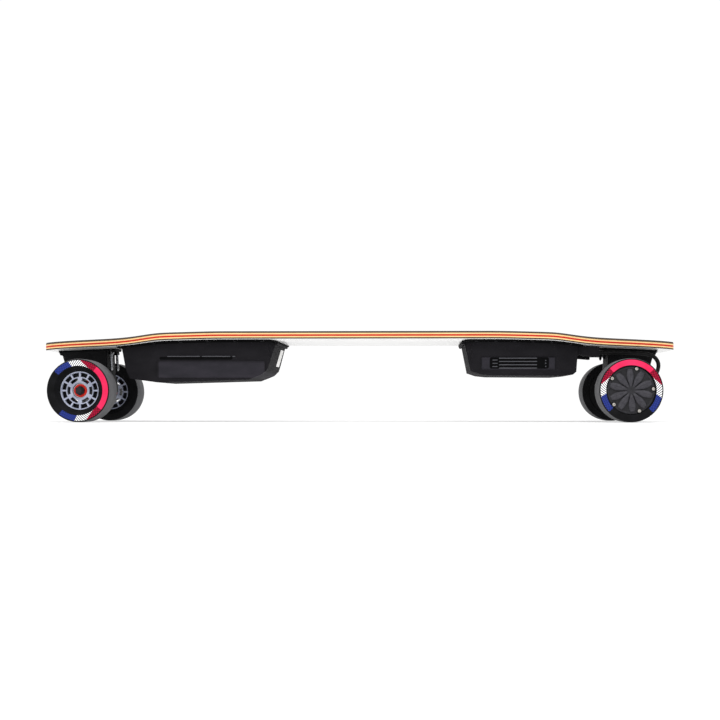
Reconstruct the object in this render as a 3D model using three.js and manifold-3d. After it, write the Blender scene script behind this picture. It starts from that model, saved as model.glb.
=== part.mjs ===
// Electric skateboard: a laminated plank on two steered trucks, two free wheels at the front, two hub
// motors at the rear, a battery case and a speed controller case under the deck.
// Millimetres, +Z up. +X points to the rear (motor) end and -Y is the left side. The origin is on the
// ground under the middle of the deck.

import * as THREE from "three";
import { mergeVertices } from "three/addons/utils/BufferGeometryUtils.js";
import Module from "manifold-3d";

const wasm = await Module();
wasm.setup();

// ------------------------------------------------------------------------------------------------
// Driving dimensions
// ------------------------------------------------------------------------------------------------

const GAP = 0.3;
const WELD = 1e-4;

// Deck. ROCKER lists [distance from the middle, height against the middle].
const DECK_LENGTH = 978;
const DECK_HALF_WIDTH = 114;
const DECK_END_HALF_WIDTH = 86;
const DECK_TIP_HALF_WIDTH = 46;
const DECK_TAPER = [290, 400];
const TIP_ROUND_START = 415;
const DECK_UNDERSIDE = 124;
const DECK_THICKNESS = 11;
const GRIP_THICKNESS = 1;
const GRIP_LIFT = 0.15;
const GRIP_INSET = 1.5;
const FLOOR_HALF_WIDTH = 88;
const RAIL_RISE = 2;
const ROCKER = [
  [0, 0], [200, 0], [260, -1.1], [300, -2.5], [340, -5.8], [360, -7.1], [385, -8.3], [485, -12.9],
];
const HALF_STATIONS = [200, 232, 262, 285, 305, 322, 340, 360, 385, 415, 448, 471, 484, 489];
const STATIONS = [...HALF_STATIONS.map((x) => -x).reverse(), ...HALF_STATIONS];
const COLUMNS = [0, 0.772, 0.89, 1];

// Axles, wheels and trucks
const FRONT_AXLE_X = -418;
const REAR_AXLE_X = 411;
const WHEEL_RADIUS = 48;
const WHEEL_HALF_WIDTH = 27;
const WHEEL_MIDDLE_Y = 101;
const TREAD_CHAMFER = 2.8;
const END_DROP_PER_MM = 0.046;
const DECK_SLOPE = Math.atan(END_DROP_PER_MM);
const STEER_AXIS_HEIGHT = 14;
const STEER_ANGLE = Math.PI / 4;
const RING_ALONG_AXIS = 20;

// Bolts that hold the trucks, in the truck's own frame
const BOLT_ROWS = [-28, 25.9];
const BOLT_HALF_SPACING = 20.65;
const BOLT_RADIUS = 2.4;
const BOLT_HEAD_RADIUS = 4.9;
const BOLT_NUT_RADIUS = 4.6;
const BOLT_NUT_HEIGHT = 5;
const BOLT_HEAD_HEIGHT = 3;
const FRONT_BOLT_TIP = 31.7;
const REAR_BOLT_TIP = 48;

// Cases
const CASE_WALL = 3;
const CASE_CORNER = 14;

// Sides of round pieces
const WHEEL_SIDES = 36;
const ROUND_SIDES = 16;
const SMALL_SIDES = 8;

// ------------------------------------------------------------------------------------------------
// Materials
// ------------------------------------------------------------------------------------------------

function material(color, roughness, metalness = 0) {
  return new THREE.MeshStandardMaterial({ color, roughness, metalness });
}

const finish = {
  wood: material(0xf2c88e, 0.45),
  grip: material(0x17171a, 0.95),
  blackMetal: material(0x1c1d20, 0.45, 0.6),
  steel: material(0xb9bcc2, 0.25, 1),
  blackSteel: material(0x2c2d31, 0.35, 0.9),
  redRubber: material(0xb3262b, 0.6),
  urethane: material(0x2a2a2d, 0.6),
  core: material(0xb4b9c8, 0.4),
  motorCover: material(0x3f4044, 0.55, 0.3),
  copper: material(0x9a5a33, 0.4, 0.8),
  casePlastic: material(0x29292d, 0.5),
  cellWrap: material(0x2c5a8c, 0.5),
  board: material(0x1f5c3a, 0.5),
  rubber: material(0x131315, 0.7),
  button: material(0x3a3b40, 0.4),
};

// ------------------------------------------------------------------------------------------------
// Geometry helpers
// ------------------------------------------------------------------------------------------------

function signedVolume(positions, triangles) {
  const corner = [new THREE.Vector3(), new THREE.Vector3(), new THREE.Vector3()];
  let sum = 0;
  for (let i = 0; i < triangles.length; i += 3) {
    corner.forEach((point, k) => point.fromArray(positions, 3 * triangles[i + k]));
    sum += corner[0].dot(corner[1].cross(corner[2])) / 6;
  }
  return sum;
}

// Welds a geometry, drops its empty triangles and turns its faces outwards.
function cleaned(geometry) {
  const bare = new THREE.BufferGeometry();
  bare.setAttribute("position", geometry.getAttribute("position").clone());
  if (geometry.index) {
    bare.setIndex(geometry.index.clone());
  }
  const welded = mergeVertices(bare, WELD);
  const positions = welded.getAttribute("position").array;
  const kept = [];
  for (let i = 0; i < welded.index.count; i += 3) {
    const [a, b, c] = [0, 1, 2].map((k) => welded.index.getX(i + k));
    if (a !== b && b !== c && c !== a) {
      kept.push(a, b, c);
    }
  }
  if (signedVolume(positions, kept) < 0) {
    kept.reverse();
  }
  welded.setIndex(kept);
  return welded;
}

function toSolid(geometry) {
  const closed = cleaned(geometry);
  return new wasm.Manifold(
    new wasm.Mesh({
      numProp: 3,
      vertProperties: new Float32Array(closed.getAttribute("position").array),
      triVerts: new Uint32Array(closed.index.array),
    }),
  );
}

function toGeometry(solid) {
  const mesh = solid.getMesh();
  const geometry = new THREE.BufferGeometry();
  geometry.setAttribute("position", new THREE.BufferAttribute(new Float32Array(mesh.vertProperties), 3));
  geometry.setIndex(new THREE.BufferAttribute(new Uint32Array(mesh.triVerts), 1));
  return geometry;
}

function joined(...geometries) {
  return toGeometry(geometries.map(toSolid).reduce((sum, solid) => sum.add(solid)));
}

function cut(geometry, ...cutters) {
  return toGeometry(cutters.map(toSolid).reduce((rest, cutter) => rest.subtract(cutter), toSolid(geometry)));
}

function common(...geometries) {
  return toGeometry(geometries.map(toSolid).reduce((rest, solid) => rest.intersect(solid)));
}

function box(x, y, z) {
  const geometry = new THREE.BoxGeometry(x[1] - x[0], y[1] - y[0], z[1] - z[0]);
  return geometry.translate((x[0] + x[1]) / 2, (y[0] + y[1]) / 2, (z[0] + z[1]) / 2);
}

// A solid of revolution about +Z from [radius, height] points.
function turned(profile, sides) {
  const points = profile.map(([radius, height]) => new THREE.Vector2(radius, height));
  return new THREE.LatheGeometry(points, sides).rotateX(Math.PI / 2);
}

// A ring about +Z with a rectangular section.
function ring(inner, outer, low, high, sides = ROUND_SIDES) {
  return turned([[inner, low], [outer, low], [outer, high], [inner, high], [inner, low]], sides);
}

// A rod about +Z.
function rod(radius, low, high, sides = ROUND_SIDES) {
  return turned([[0, low], [radius, low], [radius, high], [0, high]], sides);
}

function polygon(points) {
  return new THREE.Shape(points.map(([a, b]) => new THREE.Vector2(a, b)));
}

// A side profile in X and Z, extruded along Y between two values.
function sideProfile(points, y) {
  const options = { depth: y[1] - y[0], bevelEnabled: false };
  return new THREE.ExtrudeGeometry(polygon(points), options).rotateX(Math.PI / 2).translate(0, y[1], 0);
}

// A cross profile in Y and Z, extruded along X between two values.
function crossProfile(points, x) {
  const options = { depth: x[1] - x[0], bevelEnabled: false };
  const turn = new THREE.Matrix4().makeBasis(
    new THREE.Vector3(0, 1, 0),
    new THREE.Vector3(0, 0, 1),
    new THREE.Vector3(1, 0, 0),
  );
  return new THREE.ExtrudeGeometry(polygon(points), options).applyMatrix4(turn).translate(x[0], 0, 0);
}

// A plan outline in X and Y, extruded along Z between two values.
function plan(shape, z) {
  const options = { depth: z[1] - z[0], bevelEnabled: false, curveSegments: 2 };
  return new THREE.ExtrudeGeometry(shape, options).translate(0, 0, z[0]);
}

function roundedRectangle(x, y, radius) {
  const shape = new THREE.Shape();
  shape.absarc(x[1] - radius, y[1] - radius, radius, 0, Math.PI / 2);
  shape.absarc(x[0] + radius, y[1] - radius, radius, Math.PI / 2, Math.PI);
  shape.absarc(x[0] + radius, y[0] + radius, radius, Math.PI, 1.5 * Math.PI);
  shape.absarc(x[1] - radius, y[0] + radius, radius, 1.5 * Math.PI, 2 * Math.PI);
  return shape;
}

// Moves an open chain of points sideways, to its left, and keeps its corners sharp.
function insetChain(chain, distance) {
  const edges = chain.slice(1).map((end, i) => {
    const along = new THREE.Vector2(end[0] - chain[i][0], end[1] - chain[i][1]).normalize();
    const start = new THREE.Vector2(chain[i][0] - along.y * distance, chain[i][1] + along.x * distance);
    return { start, along };
  });
  const inset = [edges[0].start.toArray()];
  for (let i = 1; i < edges.length; i += 1) {
    const [a, b] = [edges[i - 1], edges[i]];
    const reach = b.start.clone().sub(a.start).cross(b.along) / a.along.cross(b.along);
    inset.push(a.start.clone().addScaledVector(a.along, reach).toArray());
  }
  const last = edges[edges.length - 1];
  const end = chain[chain.length - 1];
  inset.push([end[0] - last.along.y * distance, end[1] + last.along.x * distance]);
  return inset;
}

const board = new THREE.Group();

function addMesh(parent, name, geometry, look) {
  const mesh = new THREE.Mesh(cleaned(geometry), look);
  mesh.name = name;
  parent.add(mesh);
  return mesh;
}

// ------------------------------------------------------------------------------------------------
// Deck and grip tape
// ------------------------------------------------------------------------------------------------

// Height of the deck against its middle, level in the middle and straight at the ends.
function rocker(x) {
  const distance = Math.min(Math.abs(x), DECK_LENGTH / 2);
  const last = ROCKER.length - 1;
  const slope = (k) => (ROCKER[k + 1][1] - ROCKER[k][1]) / (ROCKER[k + 1][0] - ROCKER[k][0]);
  const tangent = (k) => {
    if (k <= 1) {
      return 0;
    }
    return k >= last - 1 ? slope(last - 1) : (slope(k - 1) + slope(k)) / 2;
  };
  let i = 0;
  while (i < last - 1 && distance > ROCKER[i + 1][0]) {
    i += 1;
  }
  const span = ROCKER[i + 1][0] - ROCKER[i][0];
  const t = (distance - ROCKER[i][0]) / span;
  const startWeight = 2 * t ** 3 - 3 * t ** 2 + 1;
  const startPull = (t ** 3 - 2 * t ** 2 + t) * span * tangent(i);
  const endPull = (t ** 3 - t ** 2) * span * tangent(i + 1);
  return startWeight * ROCKER[i][1] + startPull + (1 - startWeight) * ROCKER[i + 1][1] + endPull;
}

function undersideAt(x) {
  return DECK_UNDERSIDE + rocker(x);
}

function deckHalfWidth(x) {
  const distance = Math.abs(x);
  const taper = THREE.MathUtils.smoothstep(distance, DECK_TAPER[0], DECK_TAPER[1]);
  const side = THREE.MathUtils.lerp(DECK_HALF_WIDTH, DECK_END_HALF_WIDTH, taper);
  const t = Math.max(0, distance - TIP_ROUND_START) / (DECK_LENGTH / 2 - TIP_ROUND_START);
  return DECK_TIP_HALF_WIDTH + (side - DECK_TIP_HALF_WIDTH) * Math.sqrt(Math.max(0, 1 - t * t));
}

function railRise(y) {
  const beyondFloor = Math.max(0, Math.abs(y) - FLOOR_HALF_WIDTH);
  return RAIL_RISE * (beyondFloor / (DECK_HALF_WIDTH - FLOOR_HALF_WIDTH)) ** 2;
}

// A plank that follows the deck's outline, rocker and rails between two heights above the deck's underside.
function plank(low, high, inset) {
  const stations = STATIONS.map((x) => Math.sign(x) * Math.min(Math.abs(x), DECK_LENGTH / 2 - inset));
  const fractions = [...COLUMNS.slice(1).map((f) => -f).reverse(), ...COLUMNS];
  const positions = [];
  const index = [];
  for (const x of stations) {
    for (const height of [low, high]) {
      for (const fraction of fractions) {
        const y = fraction * (deckHalfWidth(x) - inset);
        positions.push(x, y, undersideAt(x) + railRise(y) + height);
      }
    }
  }
  const wide = fractions.length;
  const at = (station, layer, column) => (station * 2 + layer) * wide + column;
  const quad = (a, b, c, d) => index.push(a, b, c, a, c, d);
  for (let s = 0; s + 1 < stations.length; s += 1) {
    for (let c = 0; c + 1 < wide; c += 1) {
      quad(at(s, 1, c), at(s + 1, 1, c), at(s + 1, 1, c + 1), at(s, 1, c + 1));
      quad(at(s, 0, c), at(s, 0, c + 1), at(s + 1, 0, c + 1), at(s + 1, 0, c));
    }
    quad(at(s, 0, 0), at(s + 1, 0, 0), at(s + 1, 1, 0), at(s, 1, 0));
    quad(at(s, 0, wide - 1), at(s, 1, wide - 1), at(s + 1, 1, wide - 1), at(s + 1, 0, wide - 1));
  }
  const end = stations.length - 1;
  for (let c = 0; c + 1 < wide; c += 1) {
    quad(at(0, 0, c), at(0, 1, c), at(0, 1, c + 1), at(0, 0, c + 1));
    quad(at(end, 0, c), at(end, 0, c + 1), at(end, 1, c + 1), at(end, 1, c));
  }
  const geometry = new THREE.BufferGeometry();
  geometry.setAttribute("position", new THREE.Float32BufferAttribute(positions, 3));
  geometry.setIndex(index);
  return geometry;
}

// ------------------------------------------------------------------------------------------------
// Trucks, each in its own frame: origin at the middle of the axle, +X outboard, +Z towards the deck
// ------------------------------------------------------------------------------------------------

const RISER_BOTTOM = 64.8;
const BASE_TOP = 64.5;
const FLANGE_BOTTOM = 62.5;
const SECOND_LAYER_BOTTOM = 58.7;
const BASE_HALF_WIDTH = 30;
const FLANGE_X = [-35, 55];
const SECOND_LAYER_X = [-22.8, 51.5];
const BLOCK_HALF_WIDTH = 29;
const POCKET_HALF_WIDTH = 26;
const LEG_HALF_WIDTH = 12;
const POCKET_CEILING = 55.5;
const SEAT = -19.3;
const NOSE_TIP = -28.5;
const NOSE_RADIUS = 5.5;
const NOSE_COLLAR_RADIUS = 8;
const CUP_RADIUS = 7.5;
const CUP_FACE = -21.8;
const CUP_BOTTOM = -29.5;
const KINGPIN_RADIUS = 5;
const KINGPIN_ENDS = [-34, 29.5];
const HOUSING_RADIUS = 11;
const FLANGE_CORNER = 8;
const RING_RADIUS = 17;
const RING_BORE = 8.5;
const RING_HALF_HEIGHT = 5;
const WEB_FOOT_HALF_WIDTH = 40;
const WEB_LENGTH = 22;
const WEB_START = -10;
const BUSHING_RADIUS = 11;
const LOWER_BUSHING_END = 16.5;
const LOWER_BUSHING_TIP_RADIUS = 8.8;
const KINGPIN_NUT = { cornerRadius: 8.2, low: 19.2, high: 27 };
const WASHER_RADIUS = 12.8;
const WASHER_FACES = [16.8, 18.8];
const BOLT_HOLE_ENDS = [20, 70];

// Silhouettes of the baseplate's block, of its inboard leg and of the pocket that holds the bushings.
const BLOCK = [[-22.8, 62.9], [-22.8, 27], [-14, 27], [-8, 33], [43.2, 39], [47.5, 58.4], [47.5, 62.9]];
const LEG = [
  [-22.8, 36], [-29, 16], [-30, -1.2], [-15.2, -16], [-8, -8.8],
  [-22.8, 6], [-17, 12], [-10.8, 30.5], [-12, 36],
];
const POCKET = [[-17.3, 24], [14.2, POCKET_CEILING], [44, POCKET_CEILING], [41, 20]];

// Frames on the steering axis: +Z along the axis, or +Z along the kingpin through the ring's middle.
const alongAxis = new THREE.Matrix4()
  .makeTranslation(0, 0, STEER_AXIS_HEIGHT)
  .multiply(new THREE.Matrix4().makeRotationY(Math.PI / 2 - STEER_ANGLE));
const alongKingpin = new THREE.Matrix4()
  .makeTranslation(
    RING_ALONG_AXIS * Math.cos(STEER_ANGLE),
    0,
    STEER_AXIS_HEIGHT + RING_ALONG_AXIS * Math.sin(STEER_ANGLE),
  )
  .multiply(new THREE.Matrix4().makeRotationY(Math.PI - STEER_ANGLE));

function boltPlaces() {
  return BOLT_ROWS.flatMap((x) => [-BOLT_HALF_SPACING, BOLT_HALF_SPACING].map((y) => [x, y]));
}

function boltHoles(low, high) {
  return boltPlaces().map(([x, y]) => rod(BOLT_RADIUS + GAP, low, high, SMALL_SIDES).translate(x, y, 0));
}

function baseplate() {
  const width = [-BASE_HALF_WIDTH, BASE_HALF_WIDTH];
  const flange = plan(roundedRectangle(FLANGE_X, width, FLANGE_CORNER), [FLANGE_BOTTOM, BASE_TOP]);
  const layer = box(SECOND_LAYER_X, width, [SECOND_LAYER_BOTTOM, (FLANGE_BOTTOM + BASE_TOP) / 2]);
  const block = sideProfile(BLOCK, [-BLOCK_HALF_WIDTH, BLOCK_HALF_WIDTH]);
  const pocket = sideProfile(POCKET, [-POCKET_HALF_WIDTH, POCKET_HALF_WIDTH]);
  const leg = sideProfile(LEG, [-LEG_HALF_WIDTH, LEG_HALF_WIDTH]);
  const kingpinBore = rod(KINGPIN_RADIUS + GAP, KINGPIN_ENDS[0] - GAP, 0).applyMatrix4(alongKingpin);
  const cupBore = rod(CUP_RADIUS + GAP, CUP_BOTTOM - GAP, 0).applyMatrix4(alongAxis);
  const casting = joined(cut(joined(flange, layer, block), pocket), leg);
  return cut(casting, kingpinBore, cupBore, ...boltHoles(...BOLT_HOLE_ENDS));
}

function pivotCup() {
  const profile = [
    [0, CUP_BOTTOM],
    [CUP_RADIUS, CUP_BOTTOM],
    [CUP_RADIUS, CUP_FACE - GAP],
    [NOSE_RADIUS + GAP, CUP_FACE - GAP],
    [NOSE_RADIUS + GAP, NOSE_TIP + 1],
    [NOSE_RADIUS - 0.9, NOSE_TIP - GAP],
    [0, NOSE_TIP - GAP],
  ];
  return turned(profile, ROUND_SIDES).applyMatrix4(alongAxis);
}

// A cast hanger round the axle: a round housing, a nose in the pivot cup, and a web that ends in a ring
// on the kingpin. endProfile holds the [radius, distance from the middle] points of the housing's end.
function hanger(endProfile, boreRadius) {
  const mirrored = endProfile.map(([radius, y]) => [radius, -y]).reverse();
  const housing = turned([...mirrored, ...endProfile], ROUND_SIDES).rotateX(Math.PI / 2);
  const nose = turned(
    [
      [0, NOSE_TIP],
      [NOSE_RADIUS - 1.7, NOSE_TIP],
      [NOSE_RADIUS, NOSE_TIP + 1.7],
      [NOSE_RADIUS, CUP_FACE],
      [NOSE_COLLAR_RADIUS, CUP_FACE + 3.6],
      [NOSE_COLLAR_RADIUS, -6],
      [0, -6],
    ],
    ROUND_SIDES,
  ).applyMatrix4(alongAxis);
  const eye = rod(RING_RADIUS, -RING_HALF_HEIGHT, RING_HALF_HEIGHT).applyMatrix4(alongKingpin);
  const webOutline = polygon([
    [-WEB_FOOT_HALF_WIDTH, 0],
    [WEB_FOOT_HALF_WIDTH, 0],
    [RING_RADIUS, WEB_LENGTH],
    [-RING_RADIUS, WEB_LENGTH],
  ]);
  const web = plan(webOutline, [-RING_HALF_HEIGHT, RING_HALF_HEIGHT]);
  const webTurn = new THREE.Matrix4().makeBasis(
    new THREE.Vector3(0, 1, 0),
    new THREE.Vector3(Math.cos(STEER_ANGLE), 0, Math.sin(STEER_ANGLE)),
    new THREE.Vector3(Math.sin(STEER_ANGLE), 0, -Math.cos(STEER_ANGLE)),
  );
  web.applyMatrix4(webTurn);
  web.translate(WEB_START * Math.cos(STEER_ANGLE), 0, STEER_AXIS_HEIGHT + WEB_START * Math.sin(STEER_ANGLE));
  const eyeHole = rod(RING_BORE, -2 * RING_HALF_HEIGHT, 2 * RING_HALF_HEIGHT).applyMatrix4(alongKingpin);
  const bore = rod(boreRadius, -WHEEL_MIDDLE_Y, WHEEL_MIDDLE_Y).rotateX(Math.PI / 2);
  return cut(joined(housing, nose, eye, web), eyeHole, bore);
}

const FRONT_HANGER_END = [[HOUSING_RADIUS, 58], [7.5, 72], [7.5, 88.2], [0, 88.2]];
const REAR_HANGER_END = [[HOUSING_RADIUS, 66], [9.5, 72.5], [0, 72.5]];
const FRONT_AXLE_RADIUS = 4;
const REAR_AXLE_RADIUS = 6;
const FRONT_AXLE_HALF_LENGTH = 119.5;
const REAR_AXLE_HALF_LENGTH = 119;
const AXLE_SIDES = 12;

function truckBolt(head, nutTop, tip) {
  return turned(
    [
      [0, tip],
      [BOLT_RADIUS - 0.8, tip],
      [BOLT_RADIUS, tip + 2],
      [BOLT_RADIUS, nutTop - BOLT_NUT_HEIGHT],
      [BOLT_NUT_RADIUS, nutTop - BOLT_NUT_HEIGHT],
      [BOLT_NUT_RADIUS, nutTop],
      [BOLT_RADIUS, nutTop],
      [BOLT_RADIUS, head - BOLT_HEAD_HEIGHT],
      [BOLT_HEAD_RADIUS, head - 0.8],
      [BOLT_HEAD_RADIUS, head],
      [0, head],
    ],
    SMALL_SIDES,
  );
}

function truckFrame(axleX) {
  const turn = new THREE.Group();
  turn.position.set(axleX, 0, WHEEL_RADIUS);
  turn.rotation.z = axleX < 0 ? Math.PI : 0;
  const tilt = new THREE.Group();
  tilt.rotation.y = DECK_SLOPE;
  turn.add(tilt);
  turn.updateMatrixWorld(true);
  board.add(turn);
  return tilt;
}

// Distance from the axle to the deck's underside, square to the deck.
function deckPlaneOf(axleX) {
  return (undersideAt(axleX) - WHEEL_RADIUS) * Math.cos(DECK_SLOPE);
}

function addTruck(end, axleX, hangerEnd, axleRadius, axleHalfLength, boltTip) {
  const frame = truckFrame(axleX);
  const deckPlane = deckPlaneOf(axleX);
  const gripTop = deckPlane + DECK_THICKNESS + GRIP_THICKNESS;
  const pad = plan(
    roundedRectangle(FLANGE_X, [-BASE_HALF_WIDTH, BASE_HALF_WIDTH], FLANGE_CORNER),
    [RISER_BOTTOM, deckPlane - GAP],
  );
  addMesh(frame, `${end}_riser_pad`, cut(pad, ...boltHoles(RISER_BOTTOM - 2, deckPlane + 2)), finish.rubber);
  addMesh(frame, `${end}_baseplate`, baseplate(), finish.blackMetal);
  addMesh(frame, `${end}_pivot_cup`, pivotCup(), finish.rubber);

  const onKingpin = (geometry) => geometry.applyMatrix4(alongKingpin);
  const bore = KINGPIN_RADIUS + GAP;
  const kingpin = turned(
    [
      [0, KINGPIN_ENDS[0]],
      [KINGPIN_RADIUS, KINGPIN_ENDS[0]],
      [KINGPIN_RADIUS, KINGPIN_ENDS[1] - 1],
      [KINGPIN_RADIUS - 1, KINGPIN_ENDS[1]],
      [0, KINGPIN_ENDS[1]],
    ],
    ROUND_SIDES,
  );
  const bushingStart = RING_HALF_HEIGHT + GAP;
  const lowerBushing = [
    [bore, bushingStart],
    [BUSHING_RADIUS, bushingStart],
    [BUSHING_RADIUS, bushingStart + 2.7],
    [LOWER_BUSHING_TIP_RADIUS, LOWER_BUSHING_END],
    [bore, LOWER_BUSHING_END],
    [bore, bushingStart],
  ];
  const [cupFace, cupBack] = WASHER_FACES;
  const washer = [
    [bore, cupFace],
    [BUSHING_RADIUS, cupFace],
    [WASHER_RADIUS - 0.6, cupFace - 1.2],
    [WASHER_RADIUS, cupFace - 0.2],
    [BUSHING_RADIUS + 0.4, cupBack],
    [bore, cupBack],
    [bore, cupFace],
  ];
  addMesh(frame, `${end}_kingpin`, onKingpin(kingpin), finish.steel);
  const upperBushing = ring(bore, BUSHING_RADIUS, SEAT + GAP, -bushingStart);
  addMesh(frame, `${end}_upper_bushing`, onKingpin(upperBushing), finish.redRubber);
  addMesh(frame, `${end}_lower_bushing`, onKingpin(turned(lowerBushing, ROUND_SIDES)), finish.redRubber);
  addMesh(frame, `${end}_cup_washer`, onKingpin(turned(washer, ROUND_SIDES)), finish.steel);
  const { cornerRadius, low, high } = KINGPIN_NUT;
  const kingpinNut = cut(rod(cornerRadius, low, high, 6), rod(bore, low - 1, high + 1));
  addMesh(frame, `${end}_kingpin_nut`, onKingpin(kingpinNut), finish.steel);

  addMesh(frame, `${end}_hanger`, hanger(hangerEnd, axleRadius + GAP), finish.blackMetal);
  const axle = rod(axleRadius, -axleHalfLength, axleHalfLength, AXLE_SIDES).rotateX(Math.PI / 2);
  addMesh(frame, `${end}_axle`, axle, finish.steel);

  const sideNames = ["left", "right"];
  boltPlaces().forEach(([x, y], i) => {
    const row = x < 0 ? "inner" : "outer";
    const nutTop = (x < 0 ? FLANGE_BOTTOM : POCKET_CEILING) - GAP;
    // The front truck is turned half round, so its own +Y is the board's left side.
    const side = sideNames[(axleX < 0 ? i + 1 : i) % 2];
    const bolt = truckBolt(gripTop - GAP, nutTop, boltTip).translate(x, y, 0);
    addMesh(frame, `${end}_${side}_${row}_bolt`, bolt, finish.steel);
  });
  return frame;
}

const frontTruck = addTruck(
  "front", FRONT_AXLE_X, FRONT_HANGER_END, FRONT_AXLE_RADIUS, FRONT_AXLE_HALF_LENGTH, FRONT_BOLT_TIP,
);
const rearTruck = addTruck(
  "rear", REAR_AXLE_X, REAR_HANGER_END, REAR_AXLE_RADIUS, REAR_AXLE_HALF_LENGTH, REAR_BOLT_TIP,
);

// Room for the bolts and their countersunk heads through the deck and the grip tape.
function boltRoom(frame, axleX) {
  const top = deckPlaneOf(axleX) + DECK_THICKNESS + GRIP_THICKNESS;
  const past = 5;
  const room = [
    [0, BASE_TOP - past],
    [BOLT_RADIUS + GAP, BASE_TOP - past],
    [BOLT_RADIUS + GAP, top - 3.8],
    [BOLT_HEAD_RADIUS + GAP, top - 1.3],
    [BOLT_HEAD_RADIUS + GAP, top + past],
    [0, top + past],
  ];
  return boltPlaces().map(([x, y]) => {
    return turned(room, SMALL_SIDES).translate(x, y, 0).applyMatrix4(frame.matrixWorld);
  });
}

const boltRooms = [...boltRoom(frontTruck, FRONT_AXLE_X), ...boltRoom(rearTruck, REAR_AXLE_X)];

const POWER_CABLE_X = [-150, 190];
const GROOVE_HALF_WIDTH = 6;
const GROOVE_DEPTH = 4;
const groove = box(
  POWER_CABLE_X,
  [-GROOVE_HALF_WIDTH, GROOVE_HALF_WIDTH],
  [DECK_UNDERSIDE - 5, DECK_UNDERSIDE + GROOVE_DEPTH],
);
addMesh(board, "deck", cut(plank(0, DECK_THICKNESS, 0), groove, ...boltRooms), finish.wood);
addMesh(
  board,
  "grip_tape",
  cut(plank(DECK_THICKNESS + GRIP_LIFT, DECK_THICKNESS + GRIP_THICKNESS, GRIP_INSET), ...boltRooms),
  finish.grip,
);
addMesh(
  board,
  "power_cable",
  box(
    [POWER_CABLE_X[0] + GAP, POWER_CABLE_X[1] - GAP],
    [GAP - GROOVE_HALF_WIDTH, GROOVE_HALF_WIDTH - GAP],
    [DECK_UNDERSIDE + GAP, DECK_UNDERSIDE + GROOVE_DEPTH - GAP],
  ),
  finish.rubber,
);

// ------------------------------------------------------------------------------------------------
// Wheels, each in its own frame: +Z along the axle to the outer side, origin in the middle of the tread
// ------------------------------------------------------------------------------------------------

const CORE_RADIUS = 29;
const CORE_HALF_WIDTH = 17;
const CORE_RIM_INNER = 26.8;
const CORE_FACE = 15;
const HUB_RADIUS = 13.4;
const CORE_PAST_FACE = 20;
const POCKET_FLOOR = 2;
const POCKET_RADII = [21, 26.6];
const WINDOW_RADII = [14.6, 19.6];
const POCKET_HALF_ANGLE = 11.5;
const WINDOW_HALF_ANGLE = 19;
const MOTOR_RADIUS = 36.2;
const CAN_INNER_RADIUS = 33.4;
const CAN_BACK = -25;
const CAN_FLOOR = -21.5;
const CAN_RIM = 19.7;
const COVER = { radius: 34.7, back: 20, edge: 24.5, face: 26 };
const STATOR = { radius: 32.7, low: -17.5, high: 15 };
const BEARING_RADIUS = 11;
const BEARING_SPAN = [4, 11];
const REAR_BEARING_RADIUS = 13.7;
const REAR_BEARING_SPAN = [-24.7, -18.2];
const AXLE_NUT = { cornerRadius: 7.5, low: 11.4, high: 17 };

function wheelFrame(axleX, side) {
  const frame = new THREE.Group();
  frame.position.set(axleX, side * WHEEL_MIDDLE_Y, WHEEL_RADIUS);
  frame.rotation.x = -side * Math.PI / 2;
  board.add(frame);
  return frame;
}

function tyre(boreChain) {
  const rim = WHEEL_RADIUS - TREAD_CHAMFER;
  const shoulder = WHEEL_HALF_WIDTH - TREAD_CHAMFER;
  const outside = [
    [rim, -WHEEL_HALF_WIDTH],
    [WHEEL_RADIUS, -shoulder],
    [WHEEL_RADIUS, shoulder],
    [rim, WHEEL_HALF_WIDTH],
  ];
  const low = boreChain.map(([radius, z]) => [radius, -z]);
  const high = [...boreChain].reverse();
  return turned([...low, ...outside, ...high, low[0]], WHEEL_SIDES);
}

const FRONT_TYRE_BORE = [[CORE_RADIUS + GAP, CORE_HALF_WIDTH], [36.4, WHEEL_HALF_WIDTH]];
const REAR_TYRE_BORE = [[MOTOR_RADIUS + GAP, WHEEL_HALF_WIDTH - 1], [37.5, WHEEL_HALF_WIDTH]];

// A window between two radii, centred on an angle, for a spoked core.
function coreWindow(radii, angle, halfAngle, z) {
  const shape = new THREE.Shape();
  shape.absarc(0, 0, radii[1], angle - halfAngle, angle + halfAngle, false);
  shape.absarc(0, 0, radii[0], angle + halfAngle, angle - halfAngle, true);
  const options = { depth: z[1] - z[0], bevelEnabled: false, curveSegments: 1 };
  return new THREE.ExtrudeGeometry(shape, options).translate(0, 0, z[0]);
}

// Twelve pockets on each face and six windows right through, round a hub that holds two bearings.
function wheelCore() {
  const half = [
    [BEARING_RADIUS + GAP, CORE_FACE - 1],
    [HUB_RADIUS, CORE_FACE],
    [CORE_RIM_INNER - 1, CORE_FACE],
    [CORE_RIM_INNER, CORE_HALF_WIDTH],
    [CORE_RADIUS, CORE_HALF_WIDTH],
  ];
  const other = half.map(([radius, z]) => [radius, -z]).reverse();
  const body = turned([...half, ...other, half[0]], WHEEL_SIDES);
  const degree = Math.PI / 180;
  const windows = [];
  for (let i = 0; i < 12; i += 1) {
    const angle = (15 + 30 * i) * degree;
    for (const depth of [[POCKET_FLOOR, CORE_PAST_FACE], [-CORE_PAST_FACE, -POCKET_FLOOR]]) {
      windows.push(coreWindow(POCKET_RADII, angle, POCKET_HALF_ANGLE * degree, depth));
    }
  }
  const through = [-CORE_PAST_FACE, CORE_PAST_FACE];
  for (let i = 0; i < 6; i += 1) {
    windows.push(coreWindow(WINDOW_RADII, 60 * i * degree, WINDOW_HALF_ANGLE * degree, through));
  }
  return cut(body, ...windows);
}

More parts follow.
